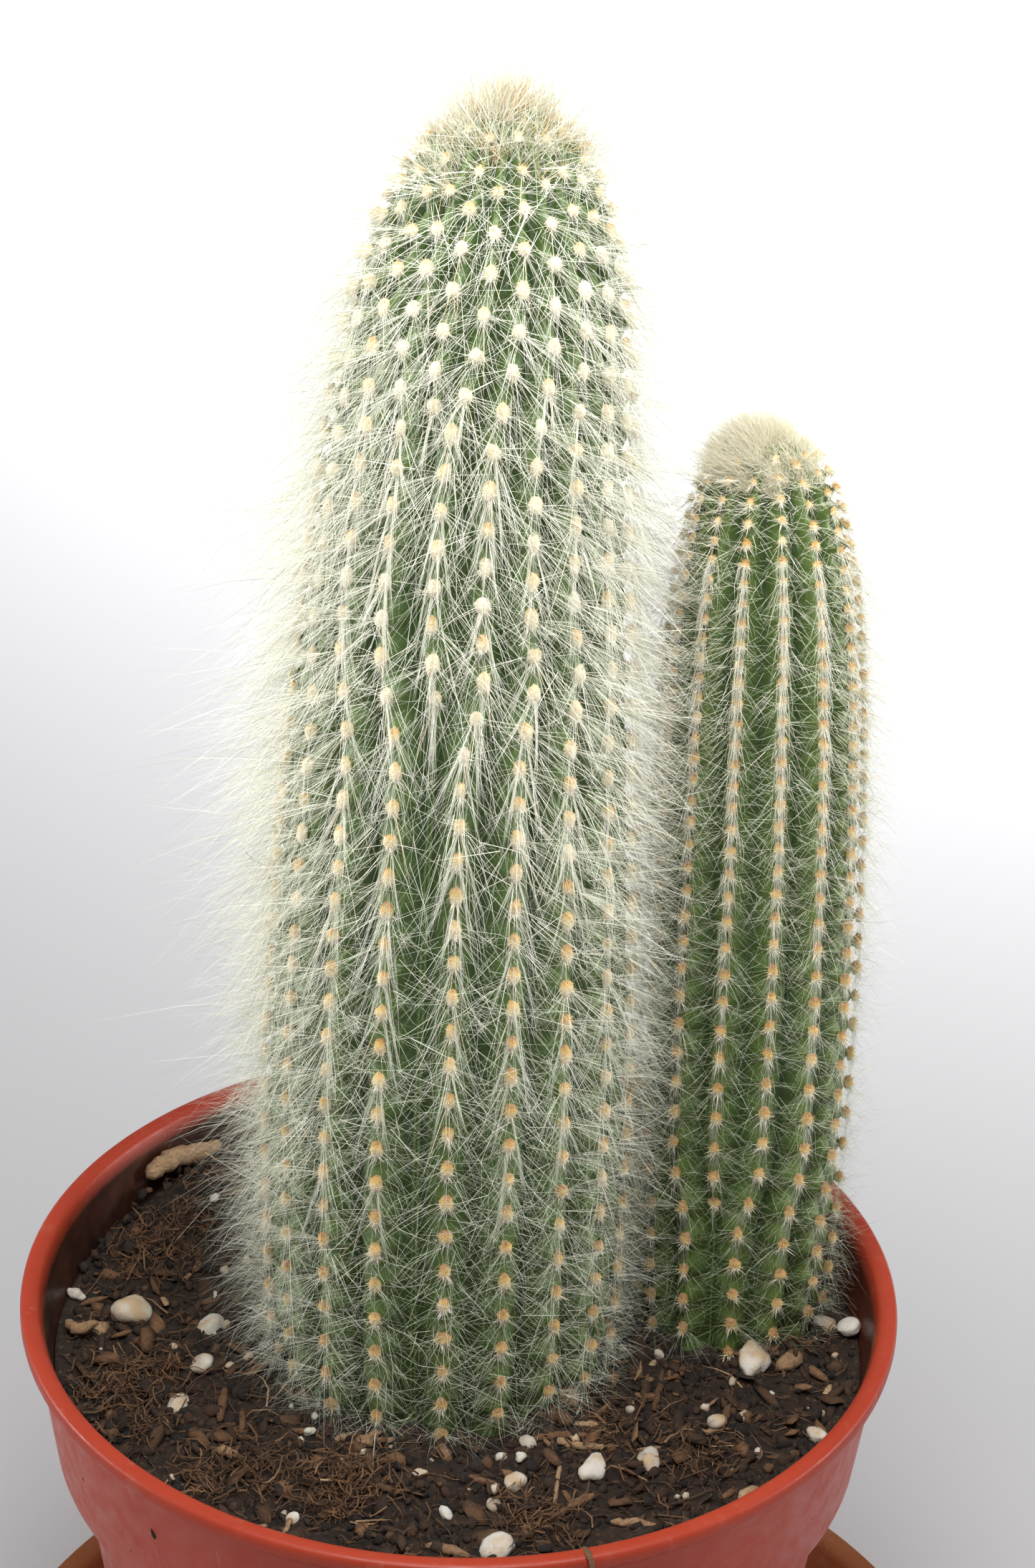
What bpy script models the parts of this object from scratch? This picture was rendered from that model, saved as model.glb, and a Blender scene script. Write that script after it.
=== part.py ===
"""A potted espostoa: two ribbed, hairy cactus stems in potting soil, in a plastic pot on a clay saucer.

Metres, +Z up. The origin is the middle of the saucer's underside, and the stems are seen best from -Y.
"""

import math
import random
from dataclasses import dataclass

import bmesh
import bpy
import numpy as np
from mathutils import Matrix, Vector, noise

MM = 0.001
GAP = 0.3 * MM  # left between pieces that rest on or in each other
MERGE = 0.05 * MM  # how near Screw joins points

FLATS = 48  # of each round piece, so that they line up
SHARP_EDGE = math.radians(32)  # edges that turn more than this are shaded sharp

# Saucer: a shallow clay dish
SAUCER_RADIUS = 74 * MM
SAUCER_HEIGHT = 20 * MM
SAUCER_WALL = 4 * MM
SAUCER_FLOOR = 3 * MM
SAUCER_FOOT_RADIUS = 65 * MM
SAUCER_ROUNDING = 1 * MM

# Pot: a thin plastic pot with a lip, a tall collar and a narrower body
POT_X = -3.5 * MM  # the pot stands a little off the saucer's middle
POT_Z = SAUCER_FLOOR + GAP
POT_HEIGHT = 97 * MM
POT_WALL = 1.5 * MM
POT_FLOOR = 1.8 * MM
LIP_RADIUS = 60 * MM
LIP_WIDTH = 2.4 * MM
LIP_HEIGHT = 2.4 * MM
LIP_ROUNDING = 0.6 * MM
COLLAR_TOP_RADIUS = 58.3 * MM
COLLAR_FOOT_RADIUS = 55.7 * MM
COLLAR_HEIGHT = 22.6 * MM  # from the top of the lip down
BODY_TOP_RADIUS = 52.8 * MM
BODY_FOOT_RADIUS = 42.3 * MM
FOOT_RING_WIDTH = 4 * MM
FOOT_RING_HEIGHT = 1.8 * MM
DRAIN_HOLES = 6
DRAIN_HOLE_RADIUS = 4 * MM
DRAIN_CIRCLE_RADIUS = 27 * MM
STEP = 0.7 * MM  # the slant under the collar and at the foot

# Soil
RIM_Z = POT_Z + POT_HEIGHT
SOIL_DROP = 10 * MM  # how far the soil lies below the rim
SOIL_Z = RIM_Z - SOIL_DROP
SOIL_BUMP = 1.3 * MM
SOIL_BUMP_SIZE = 11 * MM
SOIL_EDGE = 4 * MM  # over this width at the wall the bumps die out
SOIL_RINGS = 6
GRAINS = 26
GRAIN_REACH = 50 * MM  # from the pot's axis
GRAIN_GAP = 2 * MM
HOLE_GAP = 0.5 * MM  # round the buried end of a stem

# Stems
ROW_PITCH = 8 * MM  # between the areoles along a rib, which are fewer here than on the plant
AREOLE_RISE = 0.55 * MM
AREOLE_NOTCH = 0.5 * MM
NEW_RIB_WIDTH = 0.08  # a rib starts this narrow, as a share of a full one
NEW_RIB_GROWTH = 14 * MM  # and is full this much higher up
NEEDLE_RADIUS = 0.5 * MM
NEEDLE_ROOT = 1.7 * MM  # how deep a needle's root lies in its rib
CROWN_ROOT = 3.2 * MM
FIRST_NEEDLE = 3 * MM  # above the soil
UPRIGHT_SHARE = 0.15  # over this last share of a stem the needles stop pointing down
CROWN_REACH = 14 * MM  # how far from the tip, along the skin, the crown's needles stand
GOLDEN_ANGLE = math.radians(137.5)
CLEAR = 2 * MM  # from a needle's tip to the soil and the pot


@dataclass
class Stem:
    """One column. Heights are above the soil. The profile is (radius, height) pairs from the buried end."""

    name: str
    foot: tuple  # where its axis meets the soil, from the pot's axis
    lean: tuple  # how far its tip stands off its foot
    profile: tuple
    ribs: int  # at the foot, counted round from the front one
    added_ribs: tuple  # (place in that count, height where it starts) of each rib that starts higher up
    turn: float  # the front rib's angle
    rib_depth: float
    hair: tuple  # needle length at the foot, half way up and at the tip
    needle_share: float  # of the areoles that carry a needle
    crown_needles: int


def mm(*pairs):
    return tuple((a * MM, b * MM) for a, b in pairs)


MAIN = Stem(
    name="stem_main",
    foot=(-2.3 * MM, 0.0),
    lean=(4.6 * MM, 0.0),
    profile=mm(
        (0, -23), (15, -20.5), (20.5, -10), (21.8, 0), (23.3, 12), (23.6, 48), (21.8, 86),
        (19.3, 119), (16.4, 149), (13.2, 162), (8.2, 171.5), (0, 176),
    ),
    ribs=19,
    added_ribs=((5.5, 0.106), (9.5, 0.134), (13.5, 0.148), (18.35, 0.138), (18.7, 0.100)),
    turn=math.radians(-90),
    rib_depth=2.4 * MM,
    hair=(9 * MM, 14 * MM, 7 * MM),
    needle_share=0.62,
    crown_needles=26,
)
SIDE = Stem(
    name="stem_side",
    foot=(38.6 * MM, 10 * MM),
    lean=(-3 * MM, 0.0),
    profile=mm(
        (0, -17), (8, -15.5), (11.4, -8), (12.3, 0), (13.3, 14), (13.5, 47), (12.6, 83),
        (11.3, 106), (9.4, 119), (7.9, 125), (4.8, 129.8), (0, 131.6),
    ),
    ribs=13,
    added_ribs=((12.5, 0.020),),
    turn=math.radians(-94),
    rib_depth=1.7 * MM,
    hair=(6 * MM, 9 * MM, 6 * MM),
    needle_share=0.52,
    crown_needles=18,
)


def clear_scene():
    for obj in list(bpy.data.objects):
        bpy.data.objects.remove(obj)


def new_collection(name):
    collection = bpy.data.collections.new(name)
    bpy.context.scene.collection.children.link(collection)
    return collection


def material(name, colour, roughness):
    made = bpy.data.materials.new(name)
    made.use_nodes = True
    shader = made.node_tree.nodes["Principled BSDF"]
    shader.inputs["Base Color"].default_value = (*colour, 1)
    shader.inputs["Roughness"].default_value = roughness
    shader.inputs["Metallic"].default_value = 0
    return made


def mesh_of(shape, name):
    """Turns a bmesh into a mesh and frees it."""
    mesh = bpy.data.meshes.new(name)
    shape.to_mesh(mesh)
    shape.free()
    return mesh


def add_object(name, mesh, collection, finish=None):
    obj = bpy.data.objects.new(name, mesh)
    collection.objects.link(obj)
    if finish:
        mesh.materials.append(finish)
    return obj


def add_cutter(name, shape, cutters):
    cutter = add_object(name, mesh_of(shape, name), cutters)
    cutter.hide_render = True
    cutter.display_type = "WIRE"
    return cutter


def add_copy(mesh, collection, place, turn, size):
    """A copy of the mesh, turned and scaled, for fuse_all."""
    obj = add_object(mesh.name, mesh, collection)
    obj.matrix_world = Matrix.Translation(place) @ turn.to_4x4() @ Matrix.Diagonal((*size, 1))


def apply_modifiers(obj):
    """Swaps the object's mesh for what its modifiers make of it."""
    graph = bpy.context.evaluated_depsgraph_get()
    made = bpy.data.meshes.new_from_object(obj.evaluated_get(graph))
    obj.modifiers.clear()
    obj.data = made


def cut(obj, cutter):
    modifier = obj.modifiers.new("Cut", "BOOLEAN")
    modifier.operation = "DIFFERENCE"
    modifier.object = cutter


def fuse_all(obj, collection):
    """Joins the collection's objects with obj into one body, and removes them."""
    bpy.context.view_layer.update()
    modifier = obj.modifiers.new("Fuse", "BOOLEAN")
    modifier.operation = "UNION"
    modifier.operand_type = "COLLECTION"
    modifier.collection = collection
    modifier.solver = "MANIFOLD"
    apply_modifiers(obj)
    for copy in list(collection.objects):
        bpy.data.objects.remove(copy)
    bpy.data.collections.remove(collection)


def shade(obj):
    obj.data.shade_smooth()
    obj.data.set_sharp_from_angle(angle=SHARP_EDGE)


def turned(name, profile, place, collection, finish):
    """A round piece, whose profile runs from the axis over the rim and down its outer side to the axis."""
    mesh = bpy.data.meshes.new(name)
    edges = [(i, i + 1) for i in range(len(profile) - 1)]
    mesh.from_pydata([(radius, 0, height) for radius, height in profile], edges, [])
    obj = add_object(name, mesh, collection, finish)
    obj.location = place
    screw = obj.modifiers.new("Turn", "SCREW")
    screw.steps = screw.render_steps = FLATS
    screw.use_merge_vertices = True
    screw.merge_threshold = MERGE
    apply_modifiers(obj)
    shade(obj)
    return obj


def saucer(collection, finish):
    inner = SAUCER_RADIUS - SAUCER_WALL
    profile = [
        (0, SAUCER_FLOOR),
        (SAUCER_FOOT_RADIUS - 3 * MM, SAUCER_FLOOR),
        (SAUCER_FOOT_RADIUS, SAUCER_FLOOR + SAUCER_ROUNDING),
        (inner, SAUCER_HEIGHT - SAUCER_ROUNDING),
        (inner + SAUCER_ROUNDING, SAUCER_HEIGHT),
        (SAUCER_RADIUS - SAUCER_ROUNDING, SAUCER_HEIGHT),
        (SAUCER_RADIUS, SAUCER_HEIGHT - SAUCER_ROUNDING),
        (SAUCER_FOOT_RADIUS + SAUCER_ROUNDING, SAUCER_ROUNDING),
        (SAUCER_FOOT_RADIUS, 0),
        (0, 0),
    ]
    return turned("saucer", profile, (0, 0, 0), collection, finish)


def pot_outline():
    """The pot's outer side from the lip down, as (radius, height above the pot's foot)."""
    return [
        (LIP_RADIUS, POT_HEIGHT - LIP_ROUNDING),
        (LIP_RADIUS, POT_HEIGHT - LIP_HEIGHT),
        (COLLAR_TOP_RADIUS, POT_HEIGHT - LIP_HEIGHT - STEP / 2),
        (COLLAR_FOOT_RADIUS, POT_HEIGHT - COLLAR_HEIGHT + STEP),
        (COLLAR_FOOT_RADIUS - STEP, POT_HEIGHT - COLLAR_HEIGHT),
        (BODY_TOP_RADIUS, POT_HEIGHT - COLLAR_HEIGHT - STEP),
        (BODY_FOOT_RADIUS, STEP),
        (BODY_FOOT_RADIUS - STEP, 0),
    ]


def pot_inside():
    """The pot's inner side from its floor's edge up to the lip, as (radius, height above the pot's foot)."""
    floor = FOOT_RING_HEIGHT + POT_FLOOR
    slope = (BODY_TOP_RADIUS - BODY_FOOT_RADIUS) / (POT_HEIGHT - COLLAR_HEIGHT)
    return [
        (BODY_FOOT_RADIUS - POT_WALL + slope * floor, floor),
        (BODY_TOP_RADIUS - POT_WALL, POT_HEIGHT - COLLAR_HEIGHT - STEP / 2),
        (COLLAR_FOOT_RADIUS - POT_WALL, POT_HEIGHT - COLLAR_HEIGHT + POT_WALL),
        (COLLAR_TOP_RADIUS - POT_WALL, POT_HEIGHT - LIP_HEIGHT),
    ]


def pot(collection, cutters, finish):
    ring_inside = BODY_FOOT_RADIUS - FOOT_RING_WIDTH
    profile = [
        (0, FOOT_RING_HEIGHT + POT_FLOOR),
        *pot_inside(),
        (LIP_RADIUS - LIP_WIDTH + LIP_ROUNDING, POT_HEIGHT),
        (LIP_RADIUS - LIP_ROUNDING, POT_HEIGHT),
        *pot_outline(),
        (ring_inside, 0),
        (ring_inside, FOOT_RING_HEIGHT),
        (0, FOOT_RING_HEIGHT),
    ]
    made = turned("pot", profile, (POT_X, 0, POT_Z), collection, finish)
    cut(made, drain_cutter(cutters))
    return made


def drain_cutter(cutters):
    """One mesh that holds a peg for each drain hole."""
    pegs = bmesh.new()
    length = 4 * (FOOT_RING_HEIGHT + POT_FLOOR)
    for i in range(DRAIN_HOLES):
        angle = math.tau * (i + 0.5) / DRAIN_HOLES
        middle = Vector((
            POT_X + DRAIN_CIRCLE_RADIUS * math.cos(angle),
            DRAIN_CIRCLE_RADIUS * math.sin(angle),
            POT_Z + FOOT_RING_HEIGHT,
        ))
        bmesh.ops.create_cone(
            pegs, cap_ends=True, segments=12, radius1=DRAIN_HOLE_RADIUS, radius2=DRAIN_HOLE_RADIUS,
            depth=length, matrix=Matrix.Translation(middle),
        )
    return add_cutter("drain_pegs", pegs, cutters)


def smoothstep(x):
    x = min(1.0, max(0.0, x))
    return x * x * (3 - 2 * x)


def between(low, middle, high, share):
    """A value that goes from low through middle to high as share goes from 0 to 1."""
    if share < 0.5:
        return low + (middle - low) * smoothstep(2 * share)
    return middle + (high - middle) * smoothstep(2 * share - 1)


def smooth_profile(points, steps=24):
    """A Catmull-Rom curve through the profile, level at both poles, with its arc length at each point."""
    pts = [Vector(p) for p in points]
    pts = [Vector((-pts[1].x, pts[1].y)), *pts, Vector((-pts[-2].x, pts[-2].y))]
    curve = []
    for a, b, c, d in zip(pts, pts[1:], pts[2:], pts[3:]):
        for i in range(steps):
            t = i / steps
            bend = (2 * a - 5 * b + 4 * c - d) * t**2 + (3 * b - a - 3 * c + d) * t**3
            curve.append(0.5 * (2 * b + (c - a) * t + bend))
    curve.append(pts[-2])
    curve = np.array([tuple(p) for p in curve])
    arc = np.concatenate([[0], np.cumsum(np.hypot(*np.diff(curve, axis=0).T))])
    return curve, arc


class Surface:
    """Where a stem's surface lies, by arc length up its profile and by rib."""

    def __init__(self, stem):
        self.stem = stem
        self.curve, self.arc = smooth_profile(stem.profile)
        self.length = self.arc[-1]
        self.height = stem.profile[-1][1]
        self.widest = self.curve[:, 0].max()
        self.starts = self.ring_order()
        self.ground_arc = float(np.interp(0, self.curve[:, 1], self.arc))

    def ring_order(self):
        """Each rib's start height round the ring, and None for those that start at the foot."""
        first = [(place, None) for place in range(self.stem.ribs)]
        return [start for _, start in sorted([*first, *self.stem.added_ribs], key=lambda rib: rib[0])]

    def profile_at(self, arc):
        """(radius, height, outward normal as radius and height) on the profile."""
        radius, height = (float(np.interp(arc, self.arc, self.curve[:, i])) for i in (0, 1))
        step = 0.5 * MM
        ahead, behind = min(arc + step, self.length), max(arc - step, 0)
        along = Vector([
            np.interp(ahead, self.arc, self.curve[:, i]) - np.interp(behind, self.arc, self.curve[:, i])
            for i in (0, 1)
        ]).normalized()
        return radius, height, Vector((along.y, -along.x))

    def rib_state(self, height):
        """Each rib's growth from 0 to 1, its crest's angle and the angle of the groove after it."""
        grown = [1.0 if s is None else smoothstep((height - s) / NEW_RIB_GROWTH) for s in self.starts]
        widths = np.array([NEW_RIB_WIDTH + (1 - NEW_RIB_WIDTH) * g for g in grown])
        ends = np.cumsum(widths) / widths.sum() * math.tau
        crests = ends - widths / widths.sum() * math.tau / 2
        first = [i for i, s in enumerate(self.starts) if s is None]
        even = math.tau * (np.arange(len(first)) + 0.5) / len(first)
        drift = float(np.mean(crests[first] - even))
        shift = self.stem.turn - math.pi / len(first) - drift
        return grown, crests + shift, ends + shift

    def axis_at(self, height):
        share = max(0.0, height / self.height) ** 3
        return Vector((
            POT_X + self.stem.foot[0] + self.stem.lean[0] * share,
            self.stem.foot[1] + self.stem.lean[1] * share,
            SOIL_Z + height,
        ))

    def point(self, arc, angle, rise):
        """The place that far up the profile, at that angle, raised by rise, and the outward normal there."""
        radius, height, out = self.profile_at(arc)
        round_about = Vector((math.cos(angle), math.sin(angle), 0))
        normal = round_about * out.x + Vector((0, 0, out.y))
        return self.axis_at(height) + round_about * radius + normal * rise, normal

    def groove(self, arc):
        """How deep the grooves are here: full on the column, none at the buried end and at the tip."""
        radius, height, _ = self.profile_at(arc)
        buried = smoothstep(height / (12 * MM) + 0.7)
        return self.stem.rib_depth * buried * smoothstep(1.6 * radius / self.widest)


def stem_rows(surface):
    """Arc lengths of the mesh's rings from the buried end up: two rings for each areole along a rib."""
    first = surface.ground_arc - ROW_PITCH / 4
    buried = [first * share for share in (0.3, 0.62, 0.85)]
    count = int((surface.length - first) / (ROW_PITCH / 2)) - 1
    return buried + [first + i * ROW_PITCH / 2 for i in range(count)] + [surface.length - ROW_PITCH / 3]


def has_areole(rib, row):
    return (rib + row) % 2 == 0


def stem_body(surface, collection, finish):
    """A sphere's points moved to the stem: a crest and a groove for each rib, raised at each areole."""
    rows = stem_rows(surface)
    columns = 2 * len(surface.starts)
    body = bmesh.new()
    bmesh.ops.create_uvsphere(body, u_segments=columns, v_segments=len(rows) + 1, radius=1)
    states = [surface.rib_state(surface.profile_at(arc)[1]) for arc in rows]
    for vertex in body.verts:
        down = round(math.acos(max(-1, min(1, vertex.co.z))) / math.pi * (len(rows) + 1))
        column = round(math.atan2(-vertex.co.x, vertex.co.y) / math.tau * columns) % columns
        if down in (0, len(rows) + 1):
            arc = surface.length if down == 0 else 0
            vertex.co = surface.point(arc, 0, 0)[0]
            continue
        row = len(rows) - down
        arc = rows[row]
        grown, crests, grooves = states[row]
        rib = column // 2
        depth = surface.groove(arc)
        if column % 2:
            vertex.co = surface.point(arc, grooves[rib], -depth)[0]
        else:
            bump = AREOLE_RISE if has_areole(rib, row) else -AREOLE_NOTCH
            bump *= grown[rib] * depth / surface.stem.rib_depth
            vertex.co = surface.point(arc, crests[rib], bump - depth * (1 - grown[rib]))[0]
    return add_object(surface.stem.name, mesh_of(body, surface.stem.name), collection, finish)


def needle_mesh():
    """A three-sided needle one unit long, from its root at the origin up Z."""
    needle = bmesh.new()
    middle = Matrix.Translation((0, 0, 0.5))
    bmesh.ops.create_cone(needle, cap_ends=True, segments=3, radius1=1, radius2=0, depth=1, matrix=middle)
    return mesh_of(needle, "needle")


def split_plane(own, other):
    """A point and the direction to the other stem, for the upright plane half way between the two."""
    across = Vector(other.foot) - Vector(own.foot)
    toward = across.normalized()
    half_gap = (across.length - own_radius(own) - own_radius(other)) / 2
    point = Vector((POT_X, 0)) + Vector(own.foot) + toward * (own_radius(own) + half_gap)
    return point, toward


def own_radius(stem):
    return max(radius for radius, _ in stem.profile)


def needle_room(start, direction, length, plane):
    """The part of length that keeps clear of the soil, the pot's wall and the other stem's side."""
    point, toward = plane
    while length > NEEDLE_ROOT + CLEAR:
        tip = start + direction * length
        past_plane = (tip.xy - point).dot(toward) > -CLEAR / 4
        in_soil = tip.z < SOIL_Z + SOIL_BUMP + CLEAR
        reach = math.hypot(tip.x - POT_X, tip.y)
        in_wall = tip.z < RIM_Z + CLEAR and reach > LIP_RADIUS - LIP_WIDTH - CLEAR
        if not (past_plane or in_soil or in_wall):
            return length
        length -= 0.5 * MM
    return 0


def add_needle(mesh, collection, root, direction, length):
    turn = direction.to_track_quat("Z", "Y").to_matrix()
    add_copy(mesh, collection, root, turn, (NEEDLE_RADIUS, NEEDLE_RADIUS, length))


def rib_needles(surface, plane, mesh, collection, draw):
    """Needles that spring from the areoles, outward and down like the hair."""
    rows = stem_rows(surface)
    for row, arc in enumerate(rows[:-3]):
        height = surface.profile_at(arc)[1]
        share = height / surface.height
        grown, crests, _ = surface.rib_state(height)
        for rib, angle in enumerate(crests):
            wanted = draw.random() < surface.stem.needle_share
            sideways, drop, spread = draw.gauss(0, 0.5), draw.uniform(0.1, 0.75), draw.uniform(0.8, 1.15)
            if height < FIRST_NEEDLE or grown[rib] < 0.6 or not has_areole(rib, row) or not wanted:
                continue
            root, normal = surface.point(arc, angle, -NEEDLE_ROOT)
            across = Vector((-math.sin(angle), math.cos(angle), 0))
            sink = drop * smoothstep((1 - share) / UPRIGHT_SHARE)
            direction = (normal + across * sideways - Vector((0, 0, sink))).normalized()
            length = NEEDLE_ROOT + between(*surface.stem.hair, share) * spread
            length = needle_room(root, direction, length, plane)
            if length:
                add_needle(mesh, collection, root, direction, length)


def crown_needles(surface, mesh, collection, draw):
    """Upright needles in a sunflower spiral round the tip."""
    count = surface.stem.crown_needles
    for i in range(count):
        arc = surface.length - CROWN_REACH * (0.14 + 0.86 * math.sqrt((i + 0.5) / count))
        root, normal = surface.point(arc, GOLDEN_ANGLE * i, -CROWN_ROOT)
        direction = (normal + Vector((draw.gauss(0, 0.15), draw.gauss(0, 0.15), 0.8))).normalized()
        length = CROWN_ROOT + surface.stem.hair[2] * draw.uniform(0.75, 1.0)
        add_needle(mesh, collection, root, direction, length)


def stem(shape, other, collection, finish, seed):
    surface = Surface(shape)
    obj = stem_body(surface, collection, finish)
    needles = new_collection(shape.name + "_needles")
    draw = random.Random(seed)  # the same needles in each run
    mesh = needle_mesh()
    rib_needles(surface, split_plane(shape, other), mesh, needles, draw)
    crown_needles(surface, mesh, needles, draw)
    fuse_all(obj, needles)
    shade(obj)
    return obj


def hole_cutter(shape, cutters):
    """The plain hole that a stem stands in: its buried end grown by HOLE_GAP, as a turned plug."""
    surface = Surface(shape)
    plug = bmesh.new()
    top = surface.ground_arc + SOIL_DROP
    rings = [*(surface.ground_arc * share / 5 for share in range(1, 6)), top]
    bmesh.ops.create_uvsphere(plug, u_segments=FLATS // 2, v_segments=len(rings) + 1, radius=1)
    for vertex in plug.verts:
        up = round((1 - math.acos(max(-1, min(1, vertex.co.z))) / math.pi) * (len(rings) + 1))
        angle = math.atan2(vertex.co.y, vertex.co.x)
        if up == 0:
            vertex.co = surface.point(0, 0, HOLE_GAP)[0]
        elif up == len(rings) + 1:
            vertex.co = surface.axis_at(surface.profile_at(top)[1])
        else:
            vertex.co = surface.point(rings[up - 1], angle, HOLE_GAP + AREOLE_RISE)[0]
    return add_cutter(shape.name + "_hole", plug, cutters)


def soil_height(x, y):
    """How far the soil's surface lies above or below its level there."""
    place = Vector((x, y, 0)) / SOIL_BUMP_SIZE
    return SOIL_BUMP * (noise.noise(place) + 0.5 * noise.noise(2.3 * place))


def soil_grains():
    """(place from the pot's axis, length, width, turn) of the perlite grains and bark chips on the soil."""
    draw = random.Random(11)
    taken = [(Vector(s.foot), own_radius(s)) for s in (MAIN, SIDE)]
    grains = []
    while len(grains) < GRAINS:
        place = Vector((draw.uniform(-1, 1), draw.uniform(-1, 1))) * GRAIN_REACH
        length = draw.uniform(3.2, 6.5) * MM
        width = length * draw.uniform(0.45, 0.8)
        turn = draw.uniform(0, math.pi)
        free = all((place - other).length > reach + length / 2 + GRAIN_GAP for other, reach in taken)
        if free and place.length < GRAIN_REACH:
            taken.append((place, length / 2))
            grains.append((place, length, width, turn))
    return grains


def add_grains(obj):
    """Fuses the grains with the soil, half sunk."""
    stone = bmesh.new()
    bmesh.ops.create_icosphere(stone, subdivisions=1, radius=0.5)
    mesh = mesh_of(stone, "grain")
    grains = new_collection("soil_grains")
    bpy.context.view_layer.update()
    for place, length, width, turn in soil_grains():
        _, surface, _, _ = obj.ray_cast((place.x, place.y, POT_HEIGHT), (0, 0, -1))
        middle = Vector((POT_X + place.x, place.y, POT_Z + surface.z + 0.1 * width))
        add_copy(mesh, grains, middle, Matrix.Rotation(turn, 3, "Z"), (length, width, 0.8 * width))
    fuse_all(obj, grains)


def soil(collection, cutters, finish):
    """Fills the pot to SOIL_Z with a gap to its wall, has an uneven top and a plain hole for each stem."""
    wall = pot_inside()
    floor = wall[0][1] + GAP
    top = SOIL_Z - POT_Z
    (low_radius, low), (high_radius, high) = wall[-2], wall[-1]
    top_radius = low_radius + (high_radius - low_radius) * (top - low) / (high - low) - GAP
    profile = [
        *((top_radius * i / SOIL_RINGS, top) for i in range(SOIL_RINGS + 1)),
        *((radius - GAP, height + GAP) for radius, height in reversed(wall[:-1])),
        (0, floor),
    ]
    made = turned("soil", profile, (POT_X, 0, POT_Z), collection, finish)
    for vertex in made.data.vertices:
        reach = math.hypot(vertex.co.x, vertex.co.y)
        if vertex.co.z > top - MERGE:
            edge = smoothstep((top_radius - reach) / SOIL_EDGE)
            vertex.co.z += soil_height(vertex.co.x, vertex.co.y) * edge
    add_grains(made)
    for shape in (MAIN, SIDE):
        cut(made, hole_cutter(shape, cutters))
    return made


def main():
    clear_scene()
    plant = new_collection("potted_espostoa")
    cutters = new_collection("cutters")
    clay = material("terracotta clay", (0.43, 0.14, 0.055), 0.8)
    plastic = material("red-brown plastic", (0.42, 0.075, 0.045), 0.42)
    earth = material("potting soil", (0.035, 0.022, 0.014), 0.95)
    skin = material("cactus skin and white hair", (0.36, 0.42, 0.27), 0.75)
    saucer(plant, clay)
    pot(plant, cutters, plastic)
    soil(plant, cutters, earth)
    stem(MAIN, SIDE, plant, skin, seed=3)
    stem(SIDE, MAIN, plant, skin, seed=5)


main()
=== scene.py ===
"""A potted espostoa: two ribbed, hairy cactus stems in potting soil, in a plastic pot on a clay saucer."""

import math
from dataclasses import dataclass
from functools import partial

import bmesh
import bpy
import numpy as np
from mathutils import Matrix, Vector, noise


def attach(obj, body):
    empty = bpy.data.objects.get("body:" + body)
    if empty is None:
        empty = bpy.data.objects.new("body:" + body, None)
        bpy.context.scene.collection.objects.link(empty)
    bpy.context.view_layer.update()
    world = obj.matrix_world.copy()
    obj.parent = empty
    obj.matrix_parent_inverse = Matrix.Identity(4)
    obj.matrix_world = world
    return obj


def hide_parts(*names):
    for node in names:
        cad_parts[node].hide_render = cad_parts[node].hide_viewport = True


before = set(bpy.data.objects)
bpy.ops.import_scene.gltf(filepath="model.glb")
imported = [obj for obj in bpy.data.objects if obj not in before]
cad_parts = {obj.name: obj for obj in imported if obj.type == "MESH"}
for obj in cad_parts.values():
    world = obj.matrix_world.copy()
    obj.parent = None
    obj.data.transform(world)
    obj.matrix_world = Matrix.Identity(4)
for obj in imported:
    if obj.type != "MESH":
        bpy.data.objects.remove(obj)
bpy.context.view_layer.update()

MM = 0.001

# Camera, which stands where the photograph was taken, and the studio
CAMERA_PLACE = (2.3 * MM, -399 * MM, 386.5 * MM)
CAMERA_PITCH = math.radians(27.64)  # below the horizon
CAMERA_ROLL = math.radians(1.75)
CAMERA_LENS = 81.19
SENSOR = 36
FLOOR_REACH = 6.0
WORLD_LIGHT = 0.175

# Saucer and pot, as in the CAD
GAP = 0.3 * MM
TURNS = 192  # steps round each turned piece
SHARP_EDGE = math.radians(40)  # edges that turn more than this are shaded sharp
SAUCER_RADIUS = 74 * MM
SAUCER_HEIGHT = 20 * MM
SAUCER_WALL = 4 * MM
SAUCER_FLOOR = 3 * MM
SAUCER_FOOT_RADIUS = 65 * MM
POT_X = -3.5 * MM
POT_Z = SAUCER_FLOOR + GAP
POT_HEIGHT = 97 * MM
POT_WALL = 1.5 * MM
POT_FLOOR = 1.8 * MM
LIP_RADIUS = 60 * MM
LIP_WIDTH = 2.4 * MM
LIP_HEIGHT = 2.4 * MM
COLLAR_TOP_RADIUS = 58.3 * MM
COLLAR_FOOT_RADIUS = 55.7 * MM
COLLAR_HEIGHT = 22.6 * MM
BODY_TOP_RADIUS = 52.8 * MM
BODY_FOOT_RADIUS = 42.3 * MM
FOOT_RING_WIDTH = 4 * MM
FOOT_RING_HEIGHT = 1.8 * MM
DRAIN_HOLES = 6
DRAIN_HOLE_RADIUS = 4 * MM
DRAIN_CIRCLE_RADIUS = 27 * MM
DRAIN_HOLE_SIDES = 32
STEP = 0.7 * MM
LIP_PAINTED_SHADE = 0.14  # how much painted shade darkens the lip
WALL_FILM_AND_SHADE = 0.86  # how much a film of soil with painted shade darkens the inner wall above the soil
LEFT_PAINTED_SHADE = 0.12  # painted shade added to that wall at the left

# Soil
SOIL_Z = 90.3 * MM
SOIL_RADIUS = 55.6 * MM
LITTER_RADIUS = 55 * MM
SOIL_RINGS = 95
SOIL_COLUMNS = 220
SOIL_EDGE = 4 * MM  # how far in from its edge the soil gets flatter
SOIL_BUMP = 1.3 * MM
SOIL_BUMP_SIZE = 11 * MM
SOIL_GRAIN = 0.9 * MM
SOIL_GRAIN_SIZE = 3.2 * MM

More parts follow.
